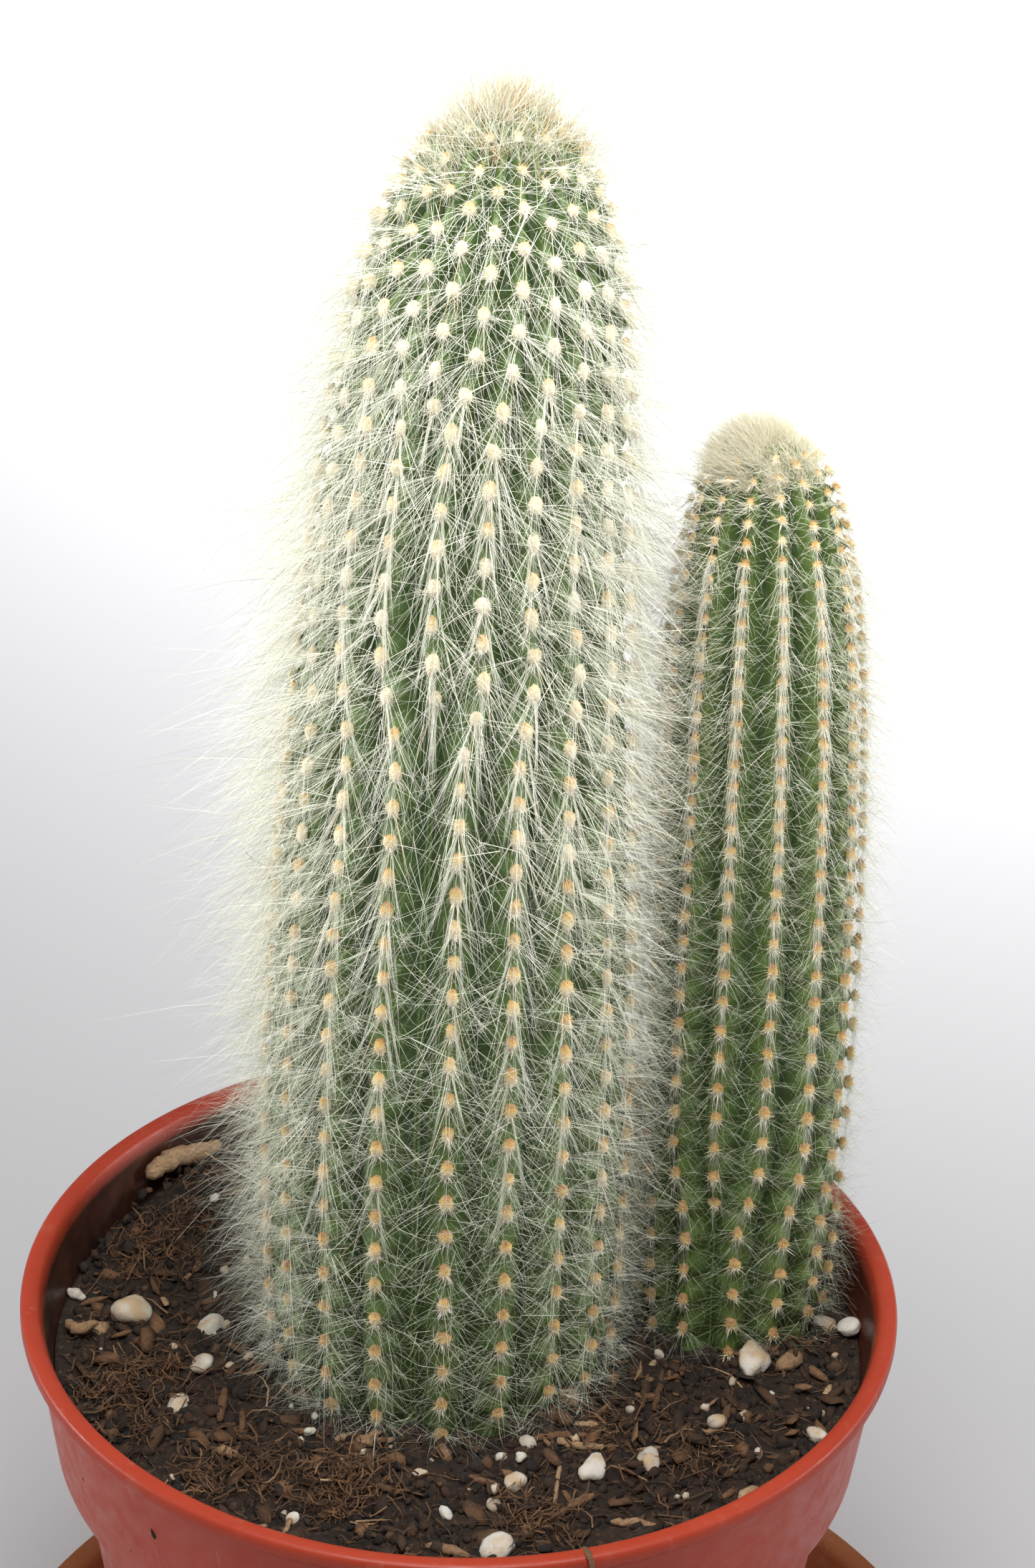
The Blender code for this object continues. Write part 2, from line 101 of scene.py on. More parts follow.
# The larger perlite grains as (x, y, length) from the pot's axis, in mm
PERLITE = (
    (-45.6, 2.7, 6.7), (-34.3, 0.9, 4.8), (-34.8, -7.7, 4.1), (-37.2, -16.9, 3.4), (-54, 7, 3),
    (18.4, -29.2, 5.2), (25.9, -26, 3.9), (8.3, -31.7, 3.4), (10, -22.3, 2.8), (6.6, -44, 5),
    (40.5, -5, 5.6), (51.3, 6, 3.4), (54.4, 3.2, 4), (35.3, -18.1, 3), (48.4, -20.4, 3.2),
    (-19.3, -22.2, 2.1), (-20.4, -39.2, 2.2), (-0.5, -37.1, 2.2), (-4.2, -30.6, 1.8),
)

# Heaps of fibre as (x, y), and sticks and fibres as (points, thickness, tint), where a point's z is above
# the soil's level, all in mm
HEAPS = (
    (-26.5, -30.3), (-12.4, -35.8), (-49, -15), (-42, -21.9), (-45.4, 14.7), (-40, 22), (-34, 33),
    (46.7, 0.8), (32, -25.1), (19.7, -18.1), (-16.9, -32.6),
)
STICKS = (
    (((-46.3, 30, 5.6), (-43.1, 33.6, 5.9), (-36.6, 37.4, 6.2)), 3.0, 0.95),
    (((-54.2, -1, 1.8), (-52.6, -3.2, 1.9), (-50.0, -1.3, 1.9)), 1.7, 0.85),
    (((15.7, -49, 2), (16.8, -54.2, 8.7), (17.3, -56.3, 10.3), (17.9, -57.8, 9.9), (18.1, -58.2, 5)),
     0.8, 0.7),
    (((12.5, -17.5, 1.6), (15.5, -20.5, 2.0)), 2.2, 0.55),
    (((-31.2, -27.3, 1.2), (-28.4, -28.3, 1.3)), 1.5, 0.85),
)
STICK_RINGS = 12
STICK_SIDES = 8
SPECK_CORNERS = 9
LARGE_SPECK = (math.radians(-131.4), 87 * MM, 2.1, 0.1)  # angle, height, length in mm, and tint
MOUND = (-40, 30, 12, 3.8)  # x, y, reach and height, in mm, of the heaped soil at the back left

# Stems, and the points of one curled hair in mm from the pot's axis and the soil's level
CURL = ((5, -12, 167.1), (3.7, -13.8, 164.3), (2.8, -14.9, 162.5), (3.3, -15.6, 159.8))
NEW_RIB_WIDTH = 0.08
NEW_RIB_GROWTH = 14 * MM
GROWN_ENOUGH = 0.3  # for a new rib to have areoles
AREOLE_RISE = 0.55 * MM
MOST_AREOLES = 400  # on a rib
TABLE_STEPS = 500
RIB_COLUMNS = 6  # mesh columns across a rib
ROW_STEP = 1.1 * MM  # between the mesh's rings
RIB_ROUNDNESS = 1.7
CROWDED = 2.3 * MM  # where the ribs are nearer than this, every second one has no areoles
FULL_ROOM = 5.6 * MM  # between ribs, for a full head of hair at each areole
FINE_BELOW = 115 * MM  # height under which the hair gets finer
SHARE_HEIGHTS = (0.1, 0.5, 0.8)  # of the stem, where shares of the hair are given
FINER = 0.45  # share by which hair at the soil is thinner
GREENER = 0.08  # how much greener its tint is
LYING = 0.8 * MM  # above the soil's level, for hair that lies on it
PAD_SHARE = 0.92  # of the given size
WOOL_HAIRS = 76  # on each pad
TANGLE_HAIRS = 14
DOWN = np.array([0.0, 0.0, -1.0])


@dataclass
class Stem:
    """One column. Heights are above the soil. The profile is (radius, height) pairs from the buried end."""

    name: str
    foot: tuple
    lean: tuple
    profile: tuple
    ribs: int
    added_ribs: tuple  # (place in the count of ribs, height where it starts)
    turn: float
    rib_depth: float
    pitch: tuple  # (height, distance between areoles) in mm
    pad: tuple  # (height, pad width, pad height, orange share), in mm
    star: tuple  # (height, length) of the fine hairs, in mm
    long: tuple  # (height, length) of the long hairs, in mm
    seed: int


def mm(*pairs):
    return tuple((a * MM, b * MM) for a, b in pairs)


MAIN = Stem(
    name="stem_main",
    foot=(-2.3 * MM, 0.0),
    lean=(4.6 * MM, 0.0),
    profile=mm(
        (0, -23), (15, -20.5), (20.5, -10), (21.8, 0), (23.3, 12), (23.6, 48), (21.8, 86),
        (19.3, 119), (16.4, 149), (13.2, 162), (8.2, 171.5), (0, 176),
    ),
    ribs=19,
    added_ribs=((5.5, 0.106), (9.5, 0.134), (13.5, 0.148), (18.35, 0.138), (18.7, 0.100)),
    turn=math.radians(-90),
    rib_depth=2.4 * MM,
    pitch=((0, 5.6), (35, 5.3), (60, 4.9), (85, 4.6), (110, 4.8), (140, 4.7), (160, 4.7), (176, 4.0)),
    pad=((0, 1.75, 2.3, 0.85), (60, 1.85, 2.7, 0.52), (110, 1.8, 2.7, 0.26), (140, 1.85, 2.6, 0.13),
         (160, 1.8, 2.2, 0.13), (175, 1.0, 1.1, 0.5)),
    star=((0, 5), (40, 6.5), (80, 8), (130, 8), (160, 7.5), (176, 6)),
    long=((0, 5.5), (30, 8.5), (60, 11.5), (110, 12), (140, 11.5), (160, 9.5), (176, 6)),
    seed=3,
)
SIDE = Stem(
    name="stem_side",
    foot=(37.9 * MM, 9.8 * MM),
    lean=(-2.3 * MM, 0.2 * MM),
    profile=mm(
        (0, -17), (8, -15.5), (11, -8), (11.7, 0), (12.8, 14), (13.3, 47), (12.6, 83),
        (11.3, 106), (9.4, 119), (7.9, 125), (4.8, 129.8), (0, 131.6),
    ),
    ribs=13,
    added_ribs=((12.5, 0.020),),
    turn=math.radians(-94),
    rib_depth=1.7 * MM,
    pitch=((0, 5.2), (25, 5.0), (50, 4.5), (65, 3.9), (80, 3.2), (100, 2.7), (131, 2.4)),
    pad=((0, 1.65, 2.2, 0.9), (60, 1.55, 2.4, 0.8), (100, 1.4, 2.1, 0.65), (129, 0.9, 1.1, 0.5)),
    star=((0, 5), (60, 5), (131, 3.2)),
    long=((0, 4.5), (40, 5), (100, 6), (131, 5)),
    seed=5,
)


# Shared helpers


def smoothstep(x):
    x = np.clip(x, 0, 1)
    return x * x * (3 - 2 * x)


def along(pairs, height, column=1):
    """A value that the pairs, in mm, give at that height."""
    heights = [row[0] * MM for row in pairs]
    return np.interp(height, heights, [row[column] for row in pairs])


def unit(vectors):
    return vectors / np.maximum(np.linalg.norm(vectors, axis=-1, keepdims=True), 1e-12)


def linked(name, data):
    """A new object of the scene."""
    obj = bpy.data.objects.new(name, data)
    bpy.context.scene.collection.objects.link(obj)
    return obj


def add_object(name, mesh, finish, smooth=True):
    obj = linked(name, mesh)
    mesh.materials.append(finish)
    if smooth:
        mesh.shade_smooth()
    return obj


def mesh_from(name, points, faces, **values):
    """A mesh from arrays of points and of equally long faces, with one float attribute for each value."""
    mesh = bpy.data.meshes.new(name)
    corners = faces.shape[1]
    mesh.vertices.add(len(points))
    mesh.vertices.foreach_set("co", np.asarray(points, np.float32).ravel())
    mesh.loops.add(faces.size)
    mesh.loops.foreach_set("vertex_index", np.asarray(faces, np.int32).ravel())
    mesh.polygons.add(len(faces))
    mesh.polygons.foreach_set("loop_start", np.arange(0, faces.size, corners, dtype=np.int32))
    mesh.update(calc_edges=True)
    for key, value in values.items():
        attribute = mesh.attributes.new(key, "FLOAT", "POINT")
        attribute.data.foreach_set("value", np.asarray(value, np.float32).ravel())
    return mesh


def add_copies(name, points, faces, tint, finish, smooth=True):
    """One piece from points[copy, point], the faces of one copy, and the tints of its points or copies."""
    count, each = points.shape[:2]
    faces = faces[None] + each * np.arange(count)[:, None, None]
    tint = np.broadcast_to(tint, (count, each))
    mesh = mesh_from(name, points.reshape(-1, 3), faces.reshape(-1, 3), tint=tint)
    return ride(add_object(name, mesh, finish, smooth))


def add_strands(name, paths, facing, width, tint, finish):
    """Thin flat strands along paths[strand, point], turned towards facing, each ending in a point."""
    count, points = paths.shape[:2]
    across = unit(np.cross(paths[:, -1] - paths[:, 0], facing))[:, None]
    taper = 1 - 0.5 * np.arange(points - 1) / max(points - 1, 1)
    half = across * (width[:, None] * taper / 2)[:, :, None]
    pairs = np.stack([paths[:, :-1] - half, paths[:, :-1] + half], 2)
    vertices = np.concatenate([pairs.reshape(count, -1, 3), paths[:, -1:]], axis=1)
    faces = []
    for left in range(0, 2 * (points - 2), 2):
        faces += [(left, left + 1, left + 3), (left, left + 3, left + 2)]
    end = 2 * (points - 1)
    faces.append((end - 2, end - 1, end))
    add_copies(name, vertices, np.array(faces), tint[:, None], finish)


def tube_faces(rings, columns):
    """Triangles of a closed tube, whose points are its rings and then an end point at either end."""
    here = np.arange(columns)
    after = (here + 1) % columns
    start = columns * np.arange(rings - 1)[:, None]
    a, b = (start + here).ravel(), (start + after).ravel()
    last, end = (rings - 1) * columns, np.full(columns, rings * columns)
    triangles = (
        (a, b, b + columns), (a, b + columns, a + columns),
        (after, here, end), (last + here, last + after, end + 1),
    )
    return np.concatenate([np.stack(corners, -1) for corners in triangles])


def icosphere(detail, radius):
    """The points and faces of a ball."""
    ball = bmesh.new()
    bmesh.ops.create_icosphere(ball, subdivisions=detail, radius=radius)
    points = np.array([v.co for v in ball.verts])
    faces = np.array([[v.index for v in f.verts] for f in ball.faces])
    ball.free()
    return points, faces


def compass(angle):
    """The outward and the sideways direction at an angle about Z."""
    cos, sin, zero = np.cos(angle), np.sin(angle), np.zeros_like(angle)
    return np.stack([cos, sin, zero], -1), np.stack([-sin, cos, zero], -1)


def ride(obj):
    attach(obj, "root")
    return obj


def swept(root, direction, length, bend, points):
    """Strand paths from root along direction, which bend by bend towards their tips."""
    t = np.linspace(0, 1, points)[None, :, None]
    size = length[:, None, None]
    return root[:, None] + direction[:, None] * size * t + bend[:, None] * size * t * t


# Materials


class Nodes:
    """A material's node tree, with short calls to add to it."""

    def __init__(self, name, roughness, **constants):
        self.made = bpy.data.materials.new(name)
        self.made.use_nodes = True
        self.tree = self.made.node_tree
        self.shader = self.tree.nodes["Principled BSDF"]
        self.shader.inputs["Roughness"].default_value = roughness
        for key, value in constants.items():
            self.shader.inputs[key.replace("_", " ")].default_value = value

    def add(self, kind, values=None, **settings):
        node = self.tree.nodes.new("ShaderNode" + kind)
        for key, value in settings.items():
            setattr(node, key, value)
        for key, value in (values or {}).items():
            self.put(value, node.inputs[key])
        return node

    def put(self, value, socket):
        if isinstance(value, bpy.types.NodeSocket):
            self.tree.links.new(value, socket)
        else:
            socket.default_value = value

    def noise(self, scale, detail, roughness=0.55, stretch=None):
        place = self.add("TexCoord").outputs["Object"]
        if stretch:
            place = self.add("Mapping", {"Vector": place, "Scale": stretch}).outputs["Vector"]
        values = {"Vector": place, "Scale": scale, "Detail": detail, "Roughness": roughness}
        return self.add("TexNoise", values).outputs["Fac"]

    def cells(self, scale):
        place = self.add("TexCoord").outputs["Object"]
        return self.add("TexVoronoi", {"Vector": place, "Scale": scale}).outputs["Distance"]

    def attribute(self, name):
        return self.add("Attribute", attribute_name=name).outputs["Fac"]

    def ramp(self, value, *stops):
        """stops are (place, colour)."""
        node = self.add("ValToRGB", {"Fac": value})
        elements = node.color_ramp.elements
        while len(elements) < len(stops):
            elements.new(1.0)
        for element, (place, colour) in zip(elements, stops):
            element.position = place
            element.color = (*colour, 1)
        return node.outputs["Color"]

    def mix(self, share, first, second):
        node = self.add("Mix", data_type="RGBA")
        for value, index in ((share, 0), (first, 6), (second, 7)):
            if isinstance(value, tuple):
                value = (*value, 1)
            self.put(value, node.inputs[index])
        return node.outputs[2]

    def level(self, value, low, high, to_low=0.0, to_high=1.0):
        values = {"Value": value, "From Min": low, "From Max": high, "To Min": to_low, "To Max": to_high}
        return self.add("MapRange", values).outputs["Result"]

    def spots(self, base, colour, scale, detail, low, high, most=1.0, **kind):
        """Spots of a colour on the base, where noise rises from low to high, as strong as most."""
        share = self.level(self.noise(scale, detail, **kind), low, high, 0.0, most)
        return self.mix(share, base, colour)

    def finished(self, colour, bump=None, rough=None):
        """The material, with (scale, detail, depth) bumps and (scale, detail, least, most) roughness."""
        sockets = self.shader.inputs
        self.put(colour, sockets["Base Color"])
        if rough:
            scale, detail, least, most = rough
            self.put(self.level(self.noise(scale, detail), 0.3, 0.7, least, most), sockets["Roughness"])
        if bump:
            scale, detail, depth, *roughness = bump
            values = {"Height": self.noise(scale, detail, *roughness), "Distance": depth}
            self.put(self.add("Bump", values).outputs["Normal"], sockets["Normal"])
        return self.made


def skin_finish(name, ridge, flank, groove):
    """Green skin: pale along the ridges and darker in the grooves as painted shade, with fine mottling."""
    n = Nodes(name, 0.5)
    # painted shade: the green darkens from the ridge into the groove
    green = n.ramp(n.attribute("groove"), (0.0, ridge), (0.45, flank), (1.0, groove))
    green = n.spots(green, tuple(1.25 * c for c in flank), 90, 3, 0.35, 0.7, 0.35)
    green = n.spots(green, tuple(0.6 * c for c in groove), 2600, 2, 0.45, 0.75, 0.3)
    return n.finished(green, bump=(1800, 4, 0.08 * MM), rough=(700, 3, 0.42, 0.62))


def wool_finish():
    """Areole wool, cream with an orange-brown upper edge by the tint attribute."""
    n = Nodes("areole wool", 0.95, Sheen_Weight=0.1)
    wool = n.ramp(
        n.attribute("tint"), (0.0, (0.98, 0.95, 0.82)), (0.3, (0.94, 0.79, 0.50)),
        (0.62, (0.83, 0.52, 0.15)), (1.0, (0.50, 0.26, 0.08)),
    )
    wool = n.spots(wool, (0.95, 0.9, 0.75), 2400, 3, 0.35, 0.7, 0.15)
    return n.finished(wool, bump=(4000, 3, 0.15 * MM))


def hair_finish():
    """Hair, from a thin grey-green through white, cream and gold to brown by the tint attribute."""
    n = Nodes("white hair", 0.55, Sheen_Weight=0.2)
    hair = n.ramp(
        n.attribute("tint"), (0.0, (0.36, 0.43, 0.24)), (0.2, (0.95, 0.94, 0.82)),
        (0.45, (0.93, 0.86, 0.66)), (0.75, (0.75, 0.52, 0.26)), (1.0, (0.42, 0.22, 0.09)),
    )
    return n.finished(n.spots(hair, (0.78, 0.80, 0.62), 900, 2, 0.4, 0.7, 0.2))


def plastic_finish():
    """Matte red-orange plastic with faint mottling, dust and fine scuffs, darkened by a film of soil with
    painted shade on the inner wall, and by painted shade on the lip.
    """
    n = Nodes("pot plastic", 0.4, Specular_IOR_Level=0.35)
    red = n.spots((0.48, 0.048, 0.020), (0.55, 0.066, 0.030), 25, 3, 0.35, 0.7)
    red = n.spots(red, (0.62, 0.22, 0.15), 260, 5, 0.56, 0.78, 0.3, roughness=0.65)
    red = n.spots(red, (0.68, 0.30, 0.21), 600, 3, 0.66, 0.74, 0.2, stretch=(1, 1, 0.08))
    # the dark colour of the soil's film, which also serves as painted shade on the inner wall and the lip
    film = n.spots((0.016, 0.010, 0.008), (0.07, 0.028, 0.016), 180, 5, 0.35, 0.7, roughness=0.7)
    red = n.mix(n.attribute("film"), red, film)
    return n.finished(red, bump=(1500, 3, 0.03 * MM), rough=(320, 4, 0.33, 0.52))


def clay_finish():
    """Terracotta: mottled, grainy and matte, with a pale bloom."""
    n = Nodes("terracotta clay", 0.85)
    clay = n.spots((0.36, 0.115, 0.035), (0.47, 0.165, 0.062), 45, 5, 0.3, 0.7)
    clay = n.spots(clay, (0.62, 0.40, 0.27), 120, 6, 0.58, 0.8, 0.4, roughness=0.7)
    clay = n.spots(clay, (0.20, 0.07, 0.03), 2200, 2, 0.62, 0.72, 0.5)
    return n.finished(clay, bump=(1400, 5, 0.12 * MM, 0.7), rough=(300, 3, 0.75, 0.95))


def soil_finish():
    """Dark, damp potting soil."""
    n = Nodes("potting soil", 0.9)
    dark = n.spots((0.012, 0.008, 0.006), (0.05, 0.027, 0.014), 300, 5, 0.35, 0.65, roughness=0.7)
    dark = n.spots(dark, (0.16, 0.085, 0.04), 1300, 4, 0.58, 0.72)
    return n.finished(dark, bump=(1100, 6, 0.5 * MM, 0.75), rough=(500, 3, 0.7, 1.0))


def crumb_finish():
    """Crumbs, bark and fibres from black to tan by the tint attribute."""
    n = Nodes("bark and fibres", 0.9)
    brown = n.ramp(
        n.attribute("tint"), (0.0, (0.012, 0.009, 0.008)), (0.45, (0.07, 0.035, 0.017)),
        (0.75, (0.22, 0.11, 0.05)), (1.0, (0.55, 0.36, 0.20)),
    )
    brown = n.spots(brown, (0.03, 0.017, 0.010), 1500, 4, 0.4, 0.7, 0.5, stretch=(1, 1, 3))
    return n.finished(brown, bump=(2200, 4, 0.15 * MM))


def perlite_finish():
    """Perlite: off-white, with fine pores and warm stains, browner by the tint attribute."""
    n = Nodes("perlite", 0.7)
    white = n.ramp(n.attribute("tint"), (0.0, (0.74, 0.71, 0.63)), (1.0, (0.45, 0.36, 0.26)))
    white = n.mix(n.level(n.cells(2600), 0.1, 0.4, 0.3, 0.0), white, (0.40, 0.34, 0.27))
    white = n.spots(white, (0.55, 0.36, 0.18), 240, 4, 0.47, 0.64, 0.8)
    return n.finished(white, bump=(1500, 4, 0.12 * MM))


def floor_finish():
    n = Nodes("floor", 0.7)
    return n.finished(n.spots((0.80, 0.80, 0.82), (0.84, 0.84, 0.85), 1.5, 2, 0.3, 0.7))


# Stem surface


def smooth_profile(points, steps=24):
    """A Catmull-Rom curve through the profile, level at both poles, with its arc length at each point."""
    pts = np.array([(-points[1][0], points[1][1]), *points, (-points[-2][0], points[-2][1])])
    t = (np.arange(steps) / steps)[:, None]
    parts = []
    for a, b, c, d in zip(pts, pts[1:], pts[2:], pts[3:]):
        bend = (2 * a - 5 * b + 4 * c - d) * t**2 + (3 * b - a - 3 * c + d) * t**3
        parts.append(0.5 * (2 * b + (c - a) * t + bend))
    curve = np.concatenate([*parts, pts[-2:-1]])
    arc = np.concatenate([[0], np.cumsum(np.hypot(*np.diff(curve, axis=0).T))])
    return curve, arc


class Surface:
    """Where a stem's skin lies, by arc length up its profile, by rib and by side of the rib."""

    def __init__(self, stem):
        self.stem = stem
        self.curve, self.arc = smooth_profile(stem.profile)
        self.length = self.arc[-1]
        self.height = stem.profile[-1][1]
        self.widest = self.curve[:, 0].max()
        first = [(place, None) for place in range(stem.ribs)]
        self.starts = [start for _, start in sorted([*first, *stem.added_ribs], key=lambda rib: rib[0])]
        self.steps = np.linspace(0, self.length, TABLE_STEPS)
        states = [self.rib_state(height) for height in self.profile_at(self.steps)[1]]
        self.grown, self.crests, self.ends = (np.array(part) for part in zip(*states))
        pitch = along(stem.pitch, self.profile_at(self.steps)[1]) * MM
        self.count = np.concatenate([[0], np.cumsum(np.diff(self.steps) / pitch[1:])])

    def profile_at(self, arc):
        """Radius, height, and the outward normal's radius and height, on the profile."""
        radius, height = (np.interp(arc, self.arc, self.curve[:, i]) for i in (0, 1))
        ahead, behind = np.minimum(arc + 0.5 * MM, self.length), np.maximum(arc - 0.5 * MM, 0)
        step = [np.interp(ahead, self.arc, self.curve[:, i]) - np.interp(behind, self.arc, self.curve[:, i])
                for i in (0, 1)]
        size = np.maximum(np.hypot(*step), 1e-9)
        return radius, height, step[1] / size, -step[0] / size

    def rib_state(self, height):
        """Each rib's growth from 0 to 1, its crest's angle and the angle of the groove after it."""
        grown = np.array([
            1.0 if s is None else float(smoothstep((height - s) / NEW_RIB_GROWTH)) for s in self.starts
        ])
        widths = NEW_RIB_WIDTH + (1 - NEW_RIB_WIDTH) * grown
        ends = np.cumsum(widths) / widths.sum() * math.tau
        crests = ends - widths / widths.sum() * math.tau / 2
        first = [i for i, s in enumerate(self.starts) if s is None]
        even = math.tau * (np.arange(len(first)) + 0.5) / len(first)
        shift = self.stem.turn - math.pi / len(first) - float(np.mean(crests[first] - even))
        return grown, crests + shift, ends + shift

    def look_up(self, table, arc, rib):
        where = np.clip(arc / self.length, 0, 1) * (TABLE_STEPS - 1)
        low = np.minimum(where.astype(int), TABLE_STEPS - 2)
        part = where - low
        return table[low, rib] * (1 - part) + table[low + 1, rib] * part

    def groove(self, radius, height):
        buried = smoothstep(height / (12 * MM) + 0.7)
        return self.stem.rib_depth * buried * smoothstep(1.6 * radius / self.widest)

    def at(self, arc, rib, side, rise=0.0):
        """Points on the skin, with the ways outward, sideways and upward. Side is -1 to 1 across a rib."""
        crest, after = self.look_up(self.crests, arc, rib), self.look_up(self.ends, arc, rib)
        before = self.look_up(self.ends, arc, rib - 1) - np.where(rib == 0, math.tau, 0)
        angle = crest + side * np.where(side > 0, after - crest, crest - before)
        grown = self.look_up(self.grown, arc, rib)
        radius, height, out_r, out_z = self.profile_at(arc)
        depth = self.groove(radius, height)
        swell = AREOLE_RISE * depth / self.stem.rib_depth * grown * self.swell(arc, rib) * (1 - side**2)
        rise = rise + swell - depth * (1 - grown + grown * np.abs(side) ** RIB_ROUNDNESS)
        round_about, sideways = compass(angle)
        out = round_about * out_r[..., None] - DOWN * out_z[..., None]
        place = self.axis(height) + round_about * radius[..., None] + out * rise[..., None]
        return place, out, sideways, np.cross(out, sideways)

    def axis(self, height):
        share = np.maximum(0, height / self.height) ** 3
        (x, y), (lean_x, lean_y) = self.stem.foot, self.stem.lean
        return np.stack([POT_X + x + lean_x * share, y + lean_y * share, SOIL_Z + height], -1)

    def phase(self, rib):
        """Where in its pitch a rib's areoles lie, so that neighbours alternate."""
        return (rib * 0.45 + 0.13 * np.sin(rib * 2.3)) % 1.0

    def room(self, arc):
        """How far apart the ribs' crests are there."""
        return math.tau * self.profile_at(arc)[0] / len(self.starts)

    def swell(self, arc, rib):
        """1 at an areole and -1 half way between two."""
        return np.cos(math.tau * (np.interp(arc, self.steps, self.count) - self.phase(rib)))

    def areoles(self, from_height, to_tip):
        """(arc, rib) of every areole above from_height and further than to_tip from the tip."""
        found = []
        for rib in range(len(self.starts)):
            counted = np.arange(MOST_AREOLES) + self.phase(rib)
            arcs = np.interp(counted, self.count, self.steps, right=self.length)
            height = self.profile_at(arcs)[1]
            grown = self.look_up(self.grown, arcs, np.full(len(arcs), rib))
            kept = (height > from_height) & (arcs < self.length - to_tip) & (grown > GROWN_ENOUGH)
            if rib % 2:
                kept &= self.room(arcs) > CROWDED
            found += [(arc, rib) for arc in arcs[kept]]
        arcs, ribs = zip(*found)
        return np.array(arcs), np.array(ribs)


def stem_body(surface, finish):
    """The ribbed skin as a closed mesh."""
    rows = int(surface.length / ROW_STEP)
    columns = np.arange(len(surface.starts) * RIB_COLUMNS)
    rib, side = columns // RIB_COLUMNS, (columns % RIB_COLUMNS) / RIB_COLUMNS * 2 - 1
    arcs = surface.length * (np.arange(rows) + 1) / (rows + 1)
    arc_grid, rib_grid = np.meshgrid(arcs, rib, indexing="ij")
    side_grid = np.broadcast_to(side, arc_grid.shape)
    place = surface.at(arc_grid, rib_grid, side_grid)[0].reshape(-1, 3)
    ends = surface.axis(np.array([surface.stem.profile[0][1], surface.height]))
    # 0 on the crests to 1 in the grooves, which the skin's material darkens as painted shade
    groove = np.concatenate([np.abs(side_grid).ravel(), [1, 0]])
    name = surface.stem.name + "_skin"
    mesh = mesh_from(name, np.concatenate([place, ends]), tube_faces(rows, len(columns)), groove=groove)
    obj = ride(add_object(name, mesh, finish))
    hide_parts(surface.stem.name)


# Wool pads and hair


def pads(surface, finish, draw):
    """A flattened ball of wool at each areole, with its short wool hairs."""
    arc, rib = surface.areoles(1 * MM, 3.5 * MM)
    place, out, sideways, up = surface.at(arc, rib, np.zeros(len(arc)), 0.25 * MM)
    height = surface.profile_at(arc)[1]
    wide, tall, orange = (along(surface.stem.pad, height, i) for i in (1, 2, 3))
    spread = draw.normal(1, 0.09, (len(arc), 3))
    size = PAD_SHARE * np.stack([wide, tall, 0.85 * wide], -1) * MM / 2 * spread
    orange = np.clip(orange + draw.normal(0, 0.12, len(arc)), 0, 1)
    shape, faces = icosphere(2, 1)
    local = shape[None] * size[:, None] * draw.normal(1, 0.09, (len(arc), len(shape), 1))
    frames = np.stack([sideways, up, out], 1)
    points = place[:, None] + np.einsum("nvk,nkc->nvc", local, frames)
    high = shape[None, :, 1]
    tint = np.clip(orange[:, None] * (0.45 + 0.75 * high) + 0.12, 0, 1)
    tint = np.where(high > 0.55, tint + 0.25 * orange[:, None], tint)
    add_copies(surface.stem.name + "_pads", points, faces, tint, finish)
    wool_hairs(surface, place, frames, size, orange, finish, draw)


def wool_hairs(surface, place, frames, size, orange, finish, draw):
    """Short hairs that stand on the pads, longest under them."""
    owner = np.repeat(np.arange(len(place)), WOOL_HAIRS)
    local = unit(draw.normal(0, 1, (len(owner), 3)) + [0, 0, 0.3])
    local[:, 2] = np.abs(local[:, 2])
    root = place[owner] + np.einsum("nk,nkc->nc", local * size[owner] * 0.85, frames[owner])
    away = np.einsum("nk,nkc->nc", local, frames[owner])
    length = draw.uniform(0.25, 0.8, len(owner)) * (1 + 1.8 * np.maximum(0, -local[:, 1])) * MM
    tint = orange[owner] * (0.48 + 0.6 * local[:, 1]) + draw.normal(0, 0.08, len(owner))
    bend = draw.normal(0, 0.5, (len(owner), 3)) + 0.15 * DOWN
    paths = swept(root, unit(away + bend), length, 0 * root, 2)
    width = draw.uniform(0.06, 0.14, len(owner)) * MM
    facing = away + draw.normal(0, 0.8, away.shape)
    name = surface.stem.name + "_wool"
    add_strands(name, paths, facing, width, np.clip(tint, 0, 1), finish)


@dataclass
class Roots:
    """Where hairs spring from, one row for each hair, and the directions there."""

    place: np.ndarray
    out: np.ndarray
    sideways: np.ndarray
    up: np.ndarray
    height: np.ndarray
    share: np.ndarray  # of the stem's height
    owner: np.ndarray  # the areole's number

    def __len__(self):
        return len(self.place)

    def kept(self, rows):
        return Roots(*(part[rows] for part in vars(self).values()))

    def thinned(self, draw, chance):
        return self.kept(draw.uniform(0, 1, len(self)) < chance)

    def shared(self, draw, spread):
        """One random value for all hairs of an areole."""
        return draw.normal(0, spread, self.owner.max() + 1)[self.owner]

    def low(self):
        """1 at the soil, and 0 from FINE_BELOW upward."""
        return 1 - smoothstep(self.height / FINE_BELOW)

    def parting(self, much):
        """How far hair turns sideways, away from the middle of the front and the back."""
        return much * self.out[:, 0] * np.abs(self.out[:, 1])

    def towards(self, out, side, down):
        """Directions from their shares of outward, sideways and down."""
        return unit(self.out * out[:, None] + self.sideways * side[:, None] + DOWN * down[:, None])

    def facing(self, draw, spread):
        """Flat sides that look outward and somewhat upward, with that much spread."""
        return self.out + [0, 0, 0.5] + draw.normal(0, spread, self.out.shape)


def hair_roots(surface, draw, to_tip, each):
    """The roots of that many hairs at each areole, and of fewer at the crowded tip."""
    arc, rib = surface.areoles(0, to_tip)
    owner = np.repeat(np.arange(len(arc)), each)
    owner = owner[draw.uniform(0, 1, len(owner)) < surface.room(arc[owner]) / FULL_ROOM]
    places = surface.at(arc[owner], rib[owner], np.zeros(len(owner)), 0.1 * MM)
    height = surface.profile_at(arc[owner])[1]
    return Roots(*places, height, height / surface.height, owner)


